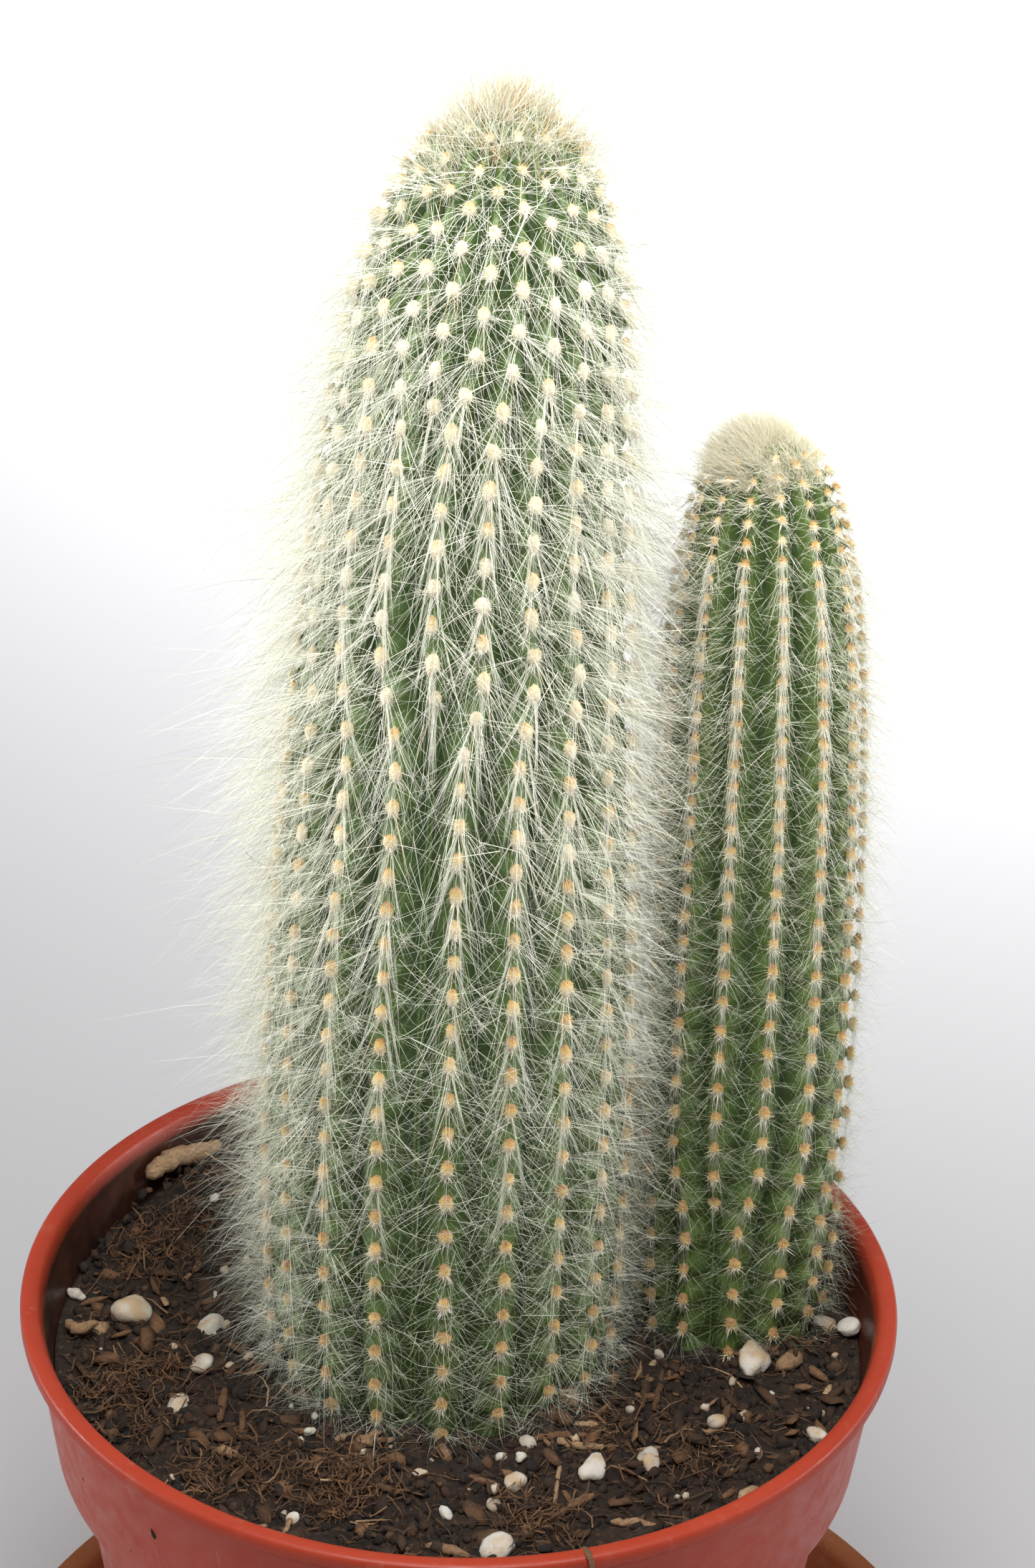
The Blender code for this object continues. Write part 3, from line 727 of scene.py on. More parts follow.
def star_hairs(surface, draw, each, drop, shares, scatter, tilt, reach=1.0, bend=0.0, points=2,
               start=(0.6, 1.0)):
    """Fine hairs that spread like a star from each areole, or from places scattered round it."""
    roots = hair_roots(surface, draw, 5 * MM, each)
    turn = draw.uniform(0, math.tau, len(roots))
    chance = np.interp(roots.share, SHARE_HEIGHTS, shares) * (1 - 0.7 * np.abs(np.cos(turn)) ** 4)
    kept = draw.uniform(0, 1, len(roots)) < chance
    roots, turn = roots.kept(kept), turn[kept]
    count = len(roots)
    tilt = np.radians(draw.uniform(*tilt, count))[:, None]
    flat = roots.up * np.cos(turn)[:, None] + roots.sideways * np.sin(turn)[:, None]
    fall = drop * smoothstep((1 - roots.share) / 0.12)
    direction = unit(roots.out * np.sin(tilt) + flat * np.cos(tilt) + DOWN * fall[:, None])
    length = along(surface.stem.star, roots.height) * MM * draw.uniform(0.5, 1.2, count) * reach
    place = roots.place + direction * draw.uniform(*start, (count, 1)) * MM
    place += roots.sideways * draw.normal(0, scatter, (count, 1))
    place += roots.up * draw.normal(0, scatter, (count, 1))
    curve = draw.normal(0, bend, (count, 3)) * (1 + 1.5 * roots.low())[:, None]
    return swept(place, direction, length, curve, points), roots.facing(draw, 0.5)


def falling_hairs(surface, draw, each, shares):
    """Fine hairs that fall across the ribs."""
    roots = hair_roots(surface, draw, 5 * MM, each)
    roots = roots.thinned(draw, np.interp(roots.share, SHARE_HEIGHTS, shares))
    count = len(roots)
    side = roots.parting(1.3) + roots.shared(draw, 0.15) + draw.normal(0, 0.55, count)
    drop = smoothstep((1.04 - roots.share) / 0.18)
    direction = roots.towards(draw.uniform(0.08, 0.45, count), side, drop)
    length = along(surface.stem.star, roots.height) * MM * draw.uniform(0.8, 2.3, count)
    place = roots.place + direction * draw.uniform(0.4, 4.5, (count, 1)) * MM
    place += roots.sideways * draw.normal(0, 1.1, (count, 1)) * MM
    curve = draw.normal(0, 0.12, (count, 3))
    return above_soil(swept(place, direction, length, curve, 3)), roots.facing(draw, 0.5)


def long_hairs(surface, draw, each):
    """Long hairs that stand off in tufts, combed down, mostly on the flanks."""
    roots = hair_roots(surface, draw, 6 * MM, each)
    flank = smoothstep((np.abs(roots.out[:, 0]) - 0.3) / 0.5)
    front = 0.1 + 0.12 * (1 - roots.low()) + 0.12 * smoothstep((roots.share - 0.6) / 0.2)
    chance = (front + (1 - front) * flank) * (1 - 0.4 * roots.low() * (roots.out[:, 0] > 0))
    roots = roots.thinned(draw, chance)
    count, low, x = len(roots), roots.low(), roots.out[:, 0]
    comb = roots.parting(1.5) + roots.shared(draw, 0.4) + draw.normal(0, 0.55, count) * (1 + low)
    drop = 0.6 + roots.shared(draw, 0.2) + draw.normal(0, 0.3, count)
    drop *= smoothstep((1.02 - roots.share) / 0.15)
    drop *= 0.35 + 0.65 * smoothstep((roots.height - 15 * MM) / (50 * MM))
    off = 0.5 + 0.2 * (1 - low) + roots.shared(draw, 0.15) + draw.normal(0, 0.22, count)
    direction = roots.towards(np.clip(off, 0.1, 1.2), comb, drop)
    spread = draw.uniform(0.4, 1.15, count) * np.where(draw.uniform(0, 1, count) < 0.08, 1.6, 1)
    length = along(surface.stem.long, roots.height) * MM * spread
    length *= 1 - x * (0.15 + 0.2 * low * (x > 0))
    bend = DOWN * draw.uniform(0.0, 0.3, (count, 1)) + draw.normal(0, 0.1, (count, 3))
    place = roots.place + direction * draw.uniform(0.7, 4, (count, 1)) * MM
    return above_soil(swept(place, direction, length, bend, 3)), roots.facing(draw, 1.0)


def spines(surface, draw, chance):
    """A few thicker golden spines, which point down and outward."""
    roots = hair_roots(surface, draw, 8 * MM, 1)
    roots = roots.thinned(draw, chance)
    count = len(roots)
    direction = unit(0.5 * roots.out + roots.sideways * draw.normal(0, 0.35, (count, 1)) + 0.9 * DOWN)
    paths = swept(roots.place, direction, draw.uniform(5, 10, count) * MM, 0.1 * roots.out, 3)
    return above_soil(paths), roots.facing(draw, 0.4)


def above_soil(paths):
    """Hair that would reach into the soil lies on it."""
    paths[..., 2] = np.maximum(paths[..., 2], SOIL_Z + LYING)
    return paths


def crest_lines(surface, draw, low, high, each):
    """White hair that lies down the crests from one areole to the next."""
    arc, rib = surface.areoles(low, 8 * MM)
    kept = surface.profile_at(arc)[1] < high
    owner = np.repeat(np.flatnonzero(kept), each)
    count = len(owner)
    reach = draw.uniform(2.5, 6.0, count) * MM
    t = np.linspace(0, 1, 3)
    side = draw.normal(0, 0.13, (count, 1)) + draw.normal(0, 0.12, (count, 1)) * t
    rise = (0.5 + 0.9 * np.sin(math.pi * t) + draw.uniform(0, 0.5, (count, 1))) * MM
    arcs = arc[owner][:, None] - reach[:, None] * t
    place, out, _, _ = surface.at(arcs, np.repeat(rib[owner][:, None], 3, 1), np.clip(side, -1, 1), rise)
    return place, out[:, 0] + [0, 0, 0.4] + draw.normal(0, 0.5, (count, 3))


def bundles(surface, draw, low, high, chance, reach, each):
    """Hairs that hang down together from an areole and meet in a groove below it, some in a tangle."""
    arc, rib = surface.areoles(low, 6 * MM)
    height = surface.profile_at(arc)[1]
    kept = (height < high) & (draw.uniform(0, 1, len(arc)) < chance)
    arc, rib = np.repeat(arc[kept], 2), np.repeat(rib[kept], 2)
    count = len(arc)
    fall = draw.uniform(*reach, count)
    side = np.tile([-1, 1], count // 2) * draw.uniform(0.35, 1.0, count)
    start = surface.at(arc - 0.5 * MM, rib, 0.1 * side, 0.5 * MM)[0]
    end, out, _, _ = surface.at(arc - fall, rib, side, draw.uniform(2.2, 4.0, count) * MM)
    middle = (start + end) / 2 + out * draw.uniform(0.4, 1.6, (count, 1)) * MM
    owner = np.repeat(np.arange(count), each)
    owner = owner[draw.uniform(0, 1, len(owner)) < draw.uniform(0.2, 1, count)[owner]]
    n = len(owner)
    start, middle, tip = (
        spot[owner] + draw.normal(0, loose, (n, 3)) * MM
        for spot, loose in ((start, 0.14), (middle, 0.15), (end, 0.3))
    )
    tip += (tip - start) * draw.uniform(-0.3, 0.3, (n, 1))
    t = np.linspace(0, 1, 4)[None, :, None]
    paths = start[:, None] * (1 - t) ** 2 + 2 * middle[:, None] * t * (1 - t) + tip[:, None] * t**2
    facing = out[owner] + [0, 0, 0.4] + draw.normal(0, 0.5, (n, 3))
    tangled = np.flatnonzero(draw.uniform(0, 1, count) < 0.4)
    knots = np.repeat(end[tangled], TANGLE_HAIRS, 0)
    knots += draw.normal(0, 0.35, knots.shape) * MM
    spread = unit(draw.normal(0, 1, knots.shape)) * draw.uniform(1.0, 3.6, (len(knots), 1)) * MM
    stars = np.stack([knots - 0.4 * spread, knots + spread], 1)
    return (above_soil(paths), facing), (above_soil(stars), draw.normal(0, 1, knots.shape))


def crown(surface, draw, clumps, each, reach, length, upright, spread, lean=(0, 0, 0)):
    """A tuft round the tip, made of clumps of hair, longer on the side that it leans to."""
    arc = surface.length - reach * draw.uniform(0.0, 1, clumps) ** 0.75
    rib = draw.integers(0, len(surface.starts), clumps)
    place, out, _, _ = surface.at(arc, rib, draw.uniform(-1, 1, clumps), -0.2 * MM)
    way = unit(out + np.array(lean) + [0, 0, upright] + draw.normal(0, 0.3, (clumps, 3)))
    owner = np.repeat(np.arange(clumps), each)
    count = len(owner)
    direction = unit(way[owner] + draw.normal(0, spread, (count, 3)))
    far = ((surface.length - arc) / reach)[owner]
    size = draw.uniform(*length, count) * (1 - 0.35 * far) * (1 + way[owner] @ np.array(lean))
    root = place[owner] + draw.normal(0, 0.5, (count, 3)) * MM
    return swept(root, direction, size, draw.normal(0, 0.12, (count, 3)), 3), draw.normal(0, 1, (count, 3))


def hair(draw, finish, group, kind, strands, width, tint):
    """Strands of width (thinnest, thickest), mostly thin, and tint (mean, spread), finer near the soil."""
    paths, facing = strands
    low = 1 - smoothstep((paths[:, 0, 2] - SOIL_Z) / FINE_BELOW)
    thin, thick = width
    widths = (thin + (thick - thin) * draw.uniform(0, 1, len(paths)) ** 3) * MM * (1 - FINER * low)
    tints = np.clip(draw.normal(*tint, len(paths)) - GREENER * low, 0, 1)
    add_strands(f"hair_{group}_{kind}", paths, facing, widths, tints, finish)


def dress_main(surface, finish, draw):
    put = partial(hair, draw, finish, "main")
    put("star", star_hairs(surface, draw, 60, 0.35, (0.45, 0.07, 0.5), 0.3 * MM, (4, 48)),
        (0.035, 0.09), (0.17, 0.05))
    web = star_hairs(surface, draw, 72, 0.55, (0.85, 0.03, 0), 1.5 * MM, (2, 26), 1.2, 0.16, 3, (0.8, 3.0))
    put("web", web, (0.045, 0.11), (0.16, 0.06))
    put("falling", falling_hairs(surface, draw, 29, (0.1, 0.38, 0.56)), (0.035, 0.095), (0.17, 0.04))
    put("long", long_hairs(surface, draw, 62), (0.035, 0.085), (0.24, 0.08))
    hanging, tangles = bundles(surface, draw, 40 * MM, 148 * MM, 0.6, (6 * MM, 14 * MM), 12)
    put("bundles", hanging, (0.05, 0.09), (0.20, 0.02))
    put("tangles", tangles, (0.04, 0.08), (0.20, 0.02))
    put("spines", spines(surface, draw, 0.3), (0.10, 0.14), (0.66, 0.08))
    put("crown", crown(surface, draw, 150, 17, 15 * MM, (3.5 * MM, 13.5 * MM), 0.75, 0.42),
        (0.05, 0.13), (0.25, 0.11))
    put("bristles", crown(surface, draw, 110, 9, 12 * MM, (2 * MM, 6 * MM), 0.4, 0.5),
        (0.09, 0.17), (0.74, 0.10))
    curl = np.array([[(POT_X + x * MM, y * MM, SOIL_Z + z * MM) for x, y, z in CURL]])
    facing, width, tint = np.array([[0.2, -1, 0.3]]), np.array([0.22 * MM]), np.array([0.2])
    add_strands("hair_main_curl", curl, facing, width, tint, finish)


def dress_side(surface, finish, draw):
    put = partial(hair, draw, finish, "side")
    put("star", star_hairs(surface, draw, 30, 0.35, (1, 0.7, 0.4), 0.3 * MM, (0, 34)),
        (0.035, 0.065), (0.09, 0.05))
    web = star_hairs(surface, draw, 44, 0.5, (1, 0.55, 0.25), 0.9 * MM, (0, 24), 1.15, 0.2, 3, (0.8, 3.0))
    put("web", web, (0.035, 0.065), (0.09, 0.05))
    put("long", long_hairs(surface, draw, 46), (0.03, 0.055), (0.28, 0.10))
    put("crests", crest_lines(surface, draw, 18 * MM, 120 * MM, 20), (0.045, 0.08), (0.19, 0.04))
    put("crown", crown(surface, draw, 180, 64, 9 * MM, (1.6 * MM, 4.6 * MM), 0.25, 0.35, (-0.6, 0, 0)),
        (0.04, 0.075), (0.36, 0.08))
    put("bristles", crown(surface, draw, 90, 8, 12 * MM, (2 * MM, 4.4 * MM), 0.35, 0.3, (-0.9, 0, 0)),
        (0.06, 0.11), (0.33, 0.13))


# Pot and saucer


def turned(name, profile, place, finish):
    """A round piece, whose profile runs from the axis over the rim and down its outer side to the axis."""
    mesh = bpy.data.meshes.new(name)
    mesh.from_pydata([(radius, 0, height) for radius, height in profile],
                     [(i, i + 1) for i in range(len(profile) - 1)], [])
    obj = add_object(name, mesh, finish)
    obj.location = place
    screw = obj.modifiers.new("Turn", "SCREW")
    screw.steps = screw.render_steps = TURNS
    screw.use_merge_vertices = True
    screw.merge_threshold = 0.02 * MM
    apply_modifiers(obj)
    obj.data.shade_smooth()
    obj.data.set_sharp_from_angle(angle=SHARP_EDGE)
    return obj


def apply_modifiers(obj):
    graph = bpy.context.evaluated_depsgraph_get()
    made = bpy.data.meshes.new_from_object(obj.evaluated_get(graph))
    obj.modifiers.clear()
    obj.data = made


def rounded(corners, steps=4):
    """Profile points from (radius, height, rounding) corners, each swapped for a small curve."""
    points = []
    for i, (x, y, rounding) in enumerate(corners):
        here = np.array([x, y])
        if not rounding:
            points.append(tuple(here))
            continue
        before, after = (np.array(corners[j][:2]) - here for j in (i - 1, i + 1))
        start = here + before / np.linalg.norm(before) * rounding
        end = here + after / np.linalg.norm(after) * rounding
        for t in np.linspace(0, 1, steps):
            points.append(tuple(start * (1 - t) ** 2 + 2 * here * t * (1 - t) + end * t**2))
    return points


def saucer(finish):
    inner = SAUCER_RADIUS - SAUCER_WALL
    corners = [
        (0, SAUCER_FLOOR, 0),
        (SAUCER_FOOT_RADIUS - 1.5 * MM, SAUCER_FLOOR, 3 * MM),
        (inner, SAUCER_HEIGHT, 1.3 * MM),
        (SAUCER_RADIUS, SAUCER_HEIGHT, 1.3 * MM),
        (SAUCER_FOOT_RADIUS + 0.7 * MM, 0, 0.8 * MM),
        (0, 0, 0),
    ]
    obj = turned("saucer_clay", rounded(corners), (0, 0, 0), finish)
    ride(obj)
    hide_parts("saucer")


def pot(finish):
    slope = (BODY_TOP_RADIUS - BODY_FOOT_RADIUS) / (POT_HEIGHT - COLLAR_HEIGHT)
    floor = FOOT_RING_HEIGHT + POT_FLOOR
    ring_inside = BODY_FOOT_RADIUS - FOOT_RING_WIDTH
    foot = POT_HEIGHT - COLLAR_HEIGHT
    corners = [
        (0, floor, 0),
        (BODY_FOOT_RADIUS - POT_WALL + slope * floor, floor, 1 * MM),
        (BODY_TOP_RADIUS - POT_WALL, foot - STEP / 2, 0.6 * MM),
        (COLLAR_FOOT_RADIUS - POT_WALL, foot + POT_WALL, 0.6 * MM),
        (COLLAR_TOP_RADIUS - POT_WALL, POT_HEIGHT - LIP_HEIGHT, 0.3 * MM),
        (LIP_RADIUS - LIP_WIDTH, POT_HEIGHT, 0.8 * MM),
        (LIP_RADIUS, POT_HEIGHT, 0.9 * MM),
        (LIP_RADIUS, POT_HEIGHT - LIP_HEIGHT, 0.7 * MM),
        (COLLAR_TOP_RADIUS, POT_HEIGHT - LIP_HEIGHT - STEP / 2, 0.5 * MM),
        (COLLAR_FOOT_RADIUS, foot, 0.8 * MM),
        (BODY_TOP_RADIUS, foot - STEP, 0.6 * MM),
        (BODY_FOOT_RADIUS, 0, 0.7 * MM),
        (ring_inside, 0, 0.3 * MM),
        (ring_inside, FOOT_RING_HEIGHT, 0.3 * MM),
        (0, FOOT_RING_HEIGHT, 0),
    ]
    obj = turned("pot_plastic", rounded(corners), (POT_X, 0, POT_Z), finish)
    drain_holes(obj)
    soil_film_and_shade(obj)
    ride(obj)
    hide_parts("pot")


def drain_holes(pot):
    """Cuts the holes through the pot's floor."""
    pegs = bmesh.new()
    depth = 4 * (FOOT_RING_HEIGHT + POT_FLOOR)
    for i in range(DRAIN_HOLES):
        angle = math.tau * (i + 0.5) / DRAIN_HOLES
        x, y = DRAIN_CIRCLE_RADIUS * math.cos(angle), DRAIN_CIRCLE_RADIUS * math.sin(angle)
        middle = Matrix.Translation(pot.location + Vector((x, y, FOOT_RING_HEIGHT)))
        bmesh.ops.create_cone(
            pegs, cap_ends=True, segments=DRAIN_HOLE_SIDES, radius1=DRAIN_HOLE_RADIUS,
            radius2=DRAIN_HOLE_RADIUS, depth=depth, matrix=middle,
        )
    mesh = bpy.data.meshes.new("drain_pegs")
    pegs.to_mesh(mesh)
    pegs.free()
    cutter = linked("drain_pegs", mesh)
    pot.modifiers.new("Holes", "BOOLEAN").object = cutter
    apply_modifiers(pot)
    bpy.data.objects.remove(cutter)
    bpy.data.meshes.remove(mesh)
    pot.data.set_sharp_from_angle(angle=SHARP_EDGE)


def soil_film_and_shade(pot):
    """Marks the inner wall above the soil, darkened by a film of soil with painted shade, most of all at the
    left, and the lip, darkened by painted shade.
    """
    place = np.empty(3 * len(pot.data.vertices))
    pot.data.vertices.foreach_get("co", place)
    x, y, z = place.reshape(-1, 3).T
    outer = np.interp(z, [POT_HEIGHT - COLLAR_HEIGHT, POT_HEIGHT - LIP_HEIGHT],
                      [COLLAR_FOOT_RADIUS, COLLAR_TOP_RADIUS])
    inside = (np.hypot(x, y) < outer - 0.6 * POT_WALL) & (z > POT_HEIGHT - COLLAR_HEIGHT)
    low = smoothstep((POT_HEIGHT - 0.8 * MM - z) / (2 * MM))
    # soil film with painted shade on the inner wall, and more painted shade at the left
    film = inside * low * (WALL_FILM_AND_SHADE + LEFT_PAINTED_SHADE * smoothstep(0.5 - x / LIP_RADIUS))
    # painted shade over the lip
    film = np.maximum(film, LIP_PAINTED_SHADE * smoothstep((z - POT_HEIGHT + LIP_HEIGHT) / MM))
    pot.data.attributes.new("film", "FLOAT", "POINT").data.foreach_set("value", film.astype(np.float32))


# Soil


def soil_height(x, y):
    """How far the soil's surface lies above or below its level there, coarse bumps and fine crumbs."""
    place = Vector((x, y, 0)) / SOIL_BUMP_SIZE
    coarse = SOIL_BUMP * (noise.noise(place) + 0.5 * noise.noise(2.3 * place))
    fine = noise.fractal(Vector((x, y, 0.3)) / SOIL_GRAIN_SIZE, 0.8, 2.2, 4)
    middle_x, middle_y, reach, height = (value * MM for value in MOUND)
    away = ((x - middle_x) ** 2 + (y - middle_y) ** 2) / (2 * reach**2)
    return coarse + SOIL_GRAIN * fine + height * math.exp(-away)


def soil(finish):
    """The soil's fine surface, its side and its underside, as one closed mesh."""
    floor = POT_Z + FOOT_RING_HEIGHT + POT_FLOOR + GAP
    foot = POT_Z + POT_HEIGHT - COLLAR_HEIGHT
    rings = [(SOIL_RADIUS * (i + 1) / SOIL_RINGS, None) for i in range(SOIL_RINGS)] + [
        (COLLAR_FOOT_RADIUS - POT_WALL - GAP, foot + POT_WALL + GAP),
        (BODY_TOP_RADIUS - POT_WALL - GAP, foot - STEP / 2 + GAP),
        (BODY_FOOT_RADIUS - POT_WALL, floor),
    ]
    points = []
    for radius, height in rings:
        edge = float(smoothstep((SOIL_RADIUS - radius) / SOIL_EDGE))
        for column in range(SOIL_COLUMNS):
            angle = math.tau * column / SOIL_COLUMNS
            x, y = radius * math.cos(angle), radius * math.sin(angle)
            z = height or SOIL_Z + soil_height(x, y) * (0.35 + 0.65 * edge)
            points.append((POT_X + x, y, z))
    points += [(POT_X, 0, SOIL_Z + soil_height(0, 0)), (POT_X, 0, floor)]
    mesh = mesh_from("soil_bed", np.array(points), tube_faces(len(rings), SOIL_COLUMNS)[:, ::-1])
    obj = ride(add_object("soil_bed", mesh, finish))
    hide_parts("soil")


def on_soil(draw, count, reach):
    """Places on the soil, outside the stems, as x and y from the pot's axis."""
    places = []
    while len(places) < count:
        x, y = draw.uniform(-reach, reach, 2)
        free = all(
            math.hypot(x - s.foot[0], y - s.foot[1]) > s.profile[3][0] + 0.5 * MM for s in (MAIN, SIDE)
        )
        if free and math.hypot(x, y) < reach:
            places.append((x, y))
    return np.array(places)


def turns(draw, count, tilt):
    """Rotation matrices that turn freely about Z and tilt by about that much."""
    return np.array([
        Matrix.Rotation(yaw, 3, "Z") @ Matrix.Rotation(pitch, 3, "X") @ Matrix.Rotation(roll, 3, "Y")
        for yaw, pitch, roll in zip(draw.uniform(0, math.tau, count), *draw.normal(0, tilt, (2, count)))
    ])


def lumps(name, draw, places, sizes, tilt, sink, tint, finish, detail=1, rough=0.2, wave=0.0):
    """Lumps on the soil of (length, width, thickness) sizes, rough by point and wavy by slow bends."""
    shape, faces = icosphere(detail, 0.5)
    count = len(places)
    swell = np.clip(draw.normal(1, rough, (count, len(shape))), 0.5, 1.7)
    for _ in range(3):
        slow = np.einsum("ni,vi->nv", draw.normal(0, 5, (count, 3)), shape)
        swell = swell + wave * np.sin(slow + draw.uniform(0, math.tau, (count, 1)))
    local = shape[None] * swell[:, :, None] * sizes[:, None]
    local = np.einsum("nij,nvj->nvi", turns(draw, count, tilt), local)
    ground = np.array([soil_height(x, y) for x, y in places])
    middle = np.stack([POT_X + places[:, 0], places[:, 1], SOIL_Z + ground + sink * sizes[:, 2]], -1)
    points = middle[:, None] + local
    add_copies(name, points, faces, tint[:, None], finish, smooth=detail > 1)


def fibres(draw, finish, name, places, length, width, tint, pile=0.0):
    """Thin brown fibres strewn on the soil, piled up to that many mm higher."""
    count = len(places)
    heading = draw.uniform(0, math.tau, count)
    length = draw.uniform(*length, count) * MM
    t = np.linspace(-0.5, 0.5, 4)
    curl = draw.normal(0, 0.9, count)[:, None] * (t**2 - 0.1)
    forward, sideways = (way[:, None, :2] for way in compass(heading))
    bent = forward * t[:, None] + sideways * curl[:, :, None]
    spots = places[:, None] + length[:, None, None] * bent
    ground = np.array([[soil_height(x, y) for x, y in row] for row in spots])
    lift = draw.uniform(0.1, 1.0 + pile, (count, 1)) + draw.normal(0, 0.25, (count, 4))
    paths = np.dstack([POT_X + spots[:, :, 0], spots[:, :, 1], SOIL_Z + ground + lift * MM])
    inside = np.hypot(spots[:, :, 0], spots[:, :, 1]).max(1) < LITTER_RADIUS
    widths = draw.uniform(*width, count) * MM
    tints = np.clip(draw.normal(*tint, count), 0, 1)
    facing = np.array([0, 0, 1]) + draw.normal(0, 0.5, (count, 3))
    add_strands(name, paths[inside], facing[inside], widths[inside], tints[inside], finish)


def clumped(draw, count, clumps, spread):
    """Places that gather round the heaps and round that many random ones."""
    middles = np.concatenate([np.array(HEAPS) * MM, on_soil(draw, clumps, 50 * MM)])
    return middles[draw.integers(0, len(middles), count)] + draw.normal(0, spread, (count, 2))


def sticks(draw, finish, strewn=46):
    """Gnarled sticks and thick fibres, as bent tubes with knots: the placed ones and a few strewn ones."""
    rods = [(np.array(path), thick, tint) for path, thick, tint in STICKS]
    for x, y in on_soil(draw, strewn, 48 * MM) / MM:
        heading, length = draw.uniform(0, math.tau), draw.uniform(1.5, 4)
        dx, dy = length * math.cos(heading), length * math.sin(heading)
        places = (x - dx, y - dy), (x, y), (x + dx, y + dy)
        path = np.array([(a, b, soil_height(a * MM, b * MM) / MM + 0.5) for a, b in places])
        rods.append((path, draw.uniform(0.5, 1.4), draw.uniform(0.35, 0.95)))
    turn = math.tau * np.arange(STICK_SIDES) / STICK_SIDES
    taper = np.sin(math.pi * (np.arange(STICK_RINGS) + 0.5) / STICK_RINGS) ** 0.35
    points = []
    for path, thick, _ in rods:
        where = np.linspace(0, len(path) - 1, STICK_RINGS)
        middle = np.stack([np.interp(where, range(len(path)), path[:, i]) for i in range(3)], -1)
        middle += draw.normal(0, 0.05 * thick, middle.shape)
        forward = unit(np.gradient(middle, axis=0))
        side = unit(np.cross(forward, [0.0, 0.01, 1.0]))[:, None]
        ring = side * np.cos(turn)[:, None] + np.cross(side, forward[:, None]) * np.sin(turn)[:, None]
        radius = thick / 2 * taper[:, None] * draw.uniform(0.75, 1.25, (STICK_RINGS, STICK_SIDES))
        body = (middle[:, None] + ring * radius[:, :, None]).reshape(-1, 3)
        points.append(np.concatenate([body, middle[:1], middle[-1:]]))
    points = np.array(points) * MM + [POT_X, 0, SOIL_Z]
    tint = np.array([[tint] for _, _, tint in rods])
    add_copies("soil_sticks", points, tube_faces(STICK_RINGS, STICK_SIDES), tint, finish)


def specks(draw, finish, strewn=40):
    """Flat bits of soil that stick to the collar's outer side, and one large one."""
    large_angle, large_height, large_length, large_tint = LARGE_SPECK
    collar = POT_HEIGHT - COLLAR_HEIGHT
    angle = np.append(draw.uniform(0, math.tau, strewn), large_angle)
    height = np.append(draw.uniform(collar, POT_HEIGHT - LIP_HEIGHT - STEP, strewn), large_height)
    share = (height - collar) / (COLLAR_HEIGHT - LIP_HEIGHT)
    radius = COLLAR_FOOT_RADIUS + (COLLAR_TOP_RADIUS - COLLAR_FOOT_RADIUS) * share
    length = np.append(draw.uniform(0.2, 0.7, strewn), large_length) * MM
    out, around = compass(angle)
    upward = unit(np.array([0, 0, 1.0]) - draw.normal(0.3, 0.4, len(angle))[:, None] * around)
    across = 0.5 * np.cross(upward, out)
    corner = np.arange(SPECK_CORNERS)
    turn = math.tau * corner[None, :, None] / SPECK_CORNERS
    reach = length[:, None] * draw.uniform(0.35, 0.6, (len(angle), SPECK_CORNERS))
    ring = upward[:, None] * np.cos(turn) + across[:, None] * np.sin(turn)
    rim = out[:, None] * radius[:, None, None] + ring * reach[:, :, None]
    top = out * (radius + 0.12 * length + 0.03 * MM)[:, None]
    points = np.concatenate([rim, top[:, None]], 1) + [POT_X, 0, POT_Z]
    points[:, :, 2] += height[:, None]
    faces = np.stack([corner, np.roll(corner, -1), np.full(SPECK_CORNERS, SPECK_CORNERS)], -1)
    tint = np.append(draw.uniform(0, 0.6, strewn), large_tint)
    add_copies("pot_specks", points, faces, tint[:, None], finish)


def litter(draw):
    """What lies on the soil: crumbs, bark, fibres and perlite."""
    bark, white = crumb_finish(), perlite_finish()
    count = 3000
    size = draw.uniform(0.5, 2.6, (count, 1)) * MM * draw.uniform(0.35, 1.1, (count, 3))
    lumps("soil_crumbs", draw, on_soil(draw, count, LITTER_RADIUS), size, 0.8, 0.1,
          np.clip(draw.normal(0.15, 0.22, count), 0, 1), bark, rough=0.3)
    count = 420
    length = draw.uniform(1.5, 5.5, (count, 1)) * MM
    size = length * draw.uniform((0.8, 0.25, 0.08), (1.2, 0.6, 0.2), (count, 3))
    lumps("soil_bark", draw, on_soil(draw, count, 53 * MM), size, 0.45, 0.8,
          np.clip(draw.normal(0.5, 0.2, count), 0, 1), bark, rough=0.28)
    fibres(draw, bark, "soil_fibres", on_soil(draw, 1300, 54 * MM), (2, 8), (0.08, 0.28), (0.52, 0.18))
    fibres(draw, bark, "soil_coir", clumped(draw, 2600, 14, 3.0 * MM), (1.5, 5), (0.10, 0.35), (0.58, 0.12),
           pile=1.2)
    sticks(draw, bark)
    specks(draw, bark)
    grains = np.array(PERLITE)
    size = grains[:, 2:3] * MM * np.array([1, 0.75, 0.6]) * draw.uniform(0.9, 1.1, (len(grains), 3))
    lumps("soil_perlite", draw, grains[:, :2] * MM, size, 0.3, 0.3, draw.uniform(0, 0.6, len(grains)), white,
          detail=3, rough=0.03, wave=0.1)
    count = 110
    size = draw.uniform(0.5, 2.0, (count, 1)) * MM * draw.uniform(0.6, 1.1, (count, 3))
    lumps("soil_perlite_small", draw, on_soil(draw, count, 54 * MM), size, 0.8, 0.2,
          draw.uniform(0, 1, count), white, detail=2, rough=0.05, wave=0.1)


# Stage


def camera():
    data = bpy.data.cameras.new("camera")
    data.sensor_width = SENSOR
    data.lens = CAMERA_LENS
    data.clip_start, data.clip_end = 0.02, 20
    obj = linked("camera", data)
    pitch = Matrix.Rotation(math.pi / 2 - CAMERA_PITCH, 4, "X")
    obj.matrix_world = Matrix.Translation(CAMERA_PLACE) @ pitch @ Matrix.Rotation(CAMERA_ROLL, 4, "Z")
    bpy.context.scene.camera = obj


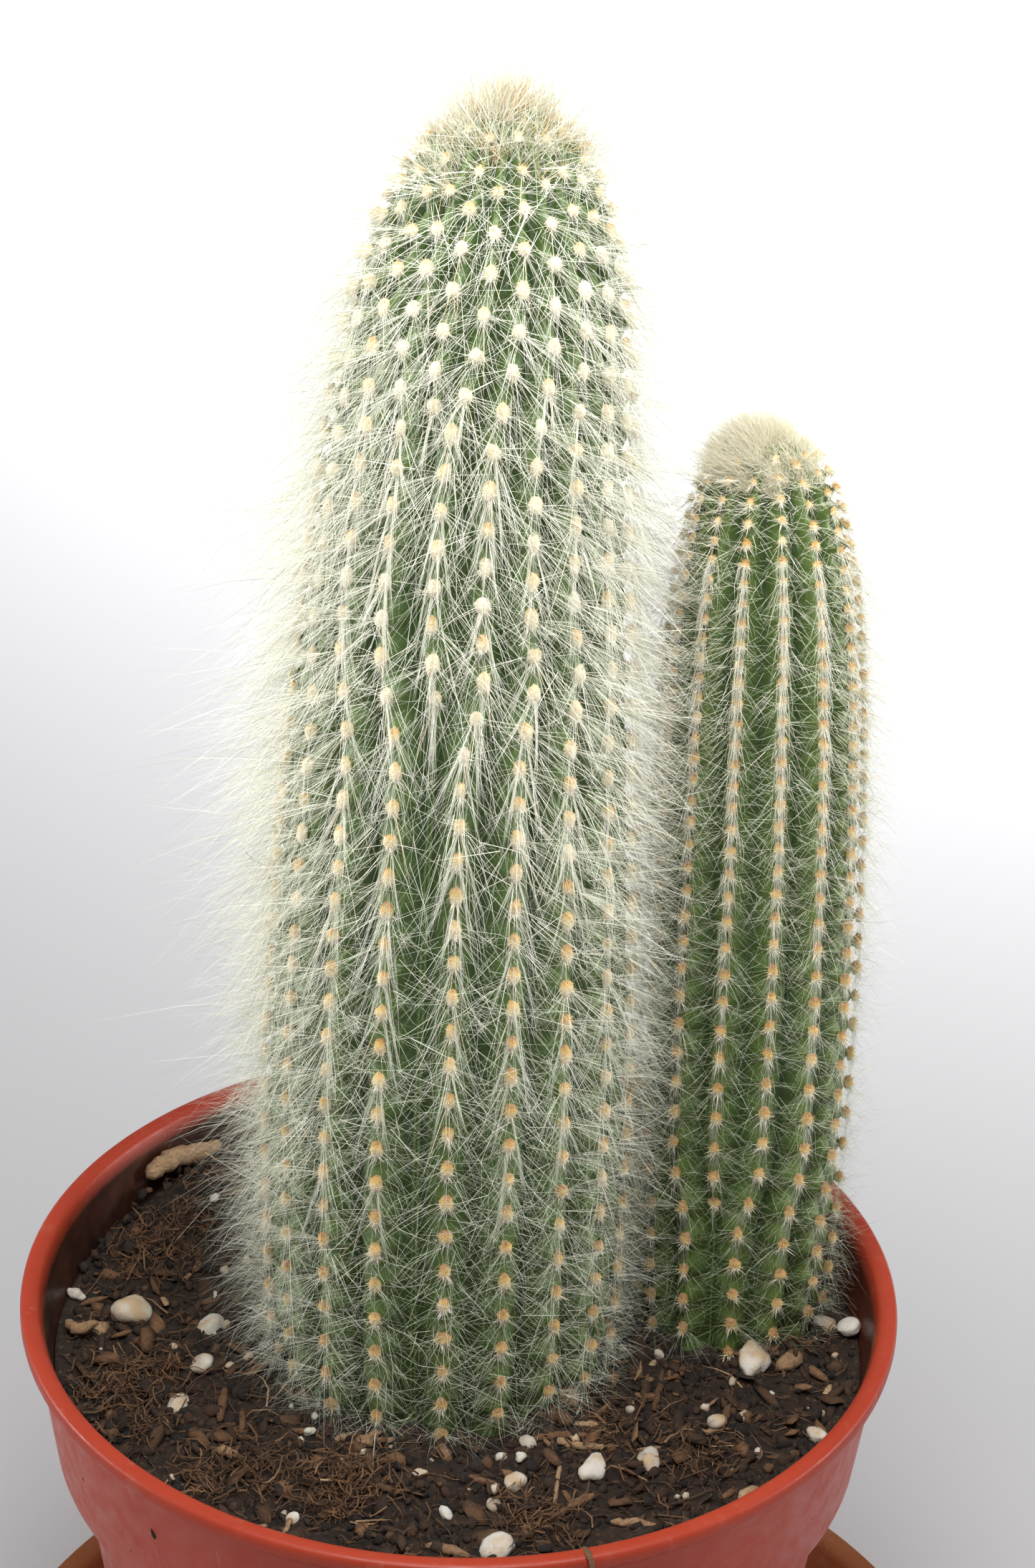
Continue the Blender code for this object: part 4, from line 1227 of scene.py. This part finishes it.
def add_light(name, place, target, size, power, cone=None):
    """A spot light with a cone of that many degrees, or a disk light where no cone is given."""
    data = bpy.data.lights.new(name, "SPOT" if cone else "AREA")
    data.energy = power
    if cone:
        data.spot_size, data.spot_blend, data.shadow_soft_size = math.radians(cone), 1.0, size
    else:
        data.shape, data.size = "DISK", size
    obj = linked(name, data)
    obj.location = place
    obj.rotation_mode = "QUATERNION"
    obj.rotation_quaternion = (Vector(target) - Vector(place)).to_track_quat("-Z", "Y")
    obj.visible_camera = False


def stage():
    mesh = bpy.data.meshes.new("floor")
    corners = [(x * FLOOR_REACH, y * FLOOR_REACH, 0) for x, y in ((-1, -1), (1, -1), (1, 1), (-1, 1))]
    mesh.from_pydata(corners, [], [(0, 1, 2, 3)])
    floor = add_object("floor", mesh, floor_finish(), smooth=False)
    world = bpy.data.worlds.new("studio")
    bpy.context.scene.world = world
    world.use_nodes = True
    sky = world.node_tree.nodes["Background"]
    sky.inputs["Color"].default_value = (1.0, 1.0, 1.0, 1)
    sky.inputs["Strength"].default_value = WORLD_LIGHT
    add_light("back_light", (0.3, 0.95, 1.6), (0.3, 0.95, 0), 0.2, 210, cone=65)
    add_light("key_light", (0.0, -0.14, 0.46), (0, 0, 0.26), 0.24, 1.36)
    add_light("left_light", (-0.5, 0.05, 0.23), (0, 0, 0.20), 0.1, 13, cone=34)
    add_light("right_light", (0.5, 0.05, 0.26), (0.02, 0, 0.21), 0.1, 12, cone=32)
    bpy.context.scene.view_settings.view_transform = "Standard"


def main():
    camera()
    stage()
    white_hair, wool = hair_finish(), wool_finish()
    main_skin = skin_finish("main skin", (0.15, 0.235, 0.06), (0.08, 0.14, 0.033), (0.022, 0.048, 0.012))
    side_skin = skin_finish("side skin", (0.16, 0.24, 0.05), (0.085, 0.145, 0.028), (0.022, 0.048, 0.010))
    saucer(clay_finish())
    pot(plastic_finish())
    soil(soil_finish())
    litter(np.random.default_rng(11))
    for shape, skin, dress in ((MAIN, main_skin, dress_main), (SIDE, side_skin, dress_side)):
        draw = np.random.default_rng(shape.seed)
        surface = Surface(shape)
        stem_body(surface, skin)
        pads(surface, wool, draw)
        dress(surface, white_hair, draw)


main()
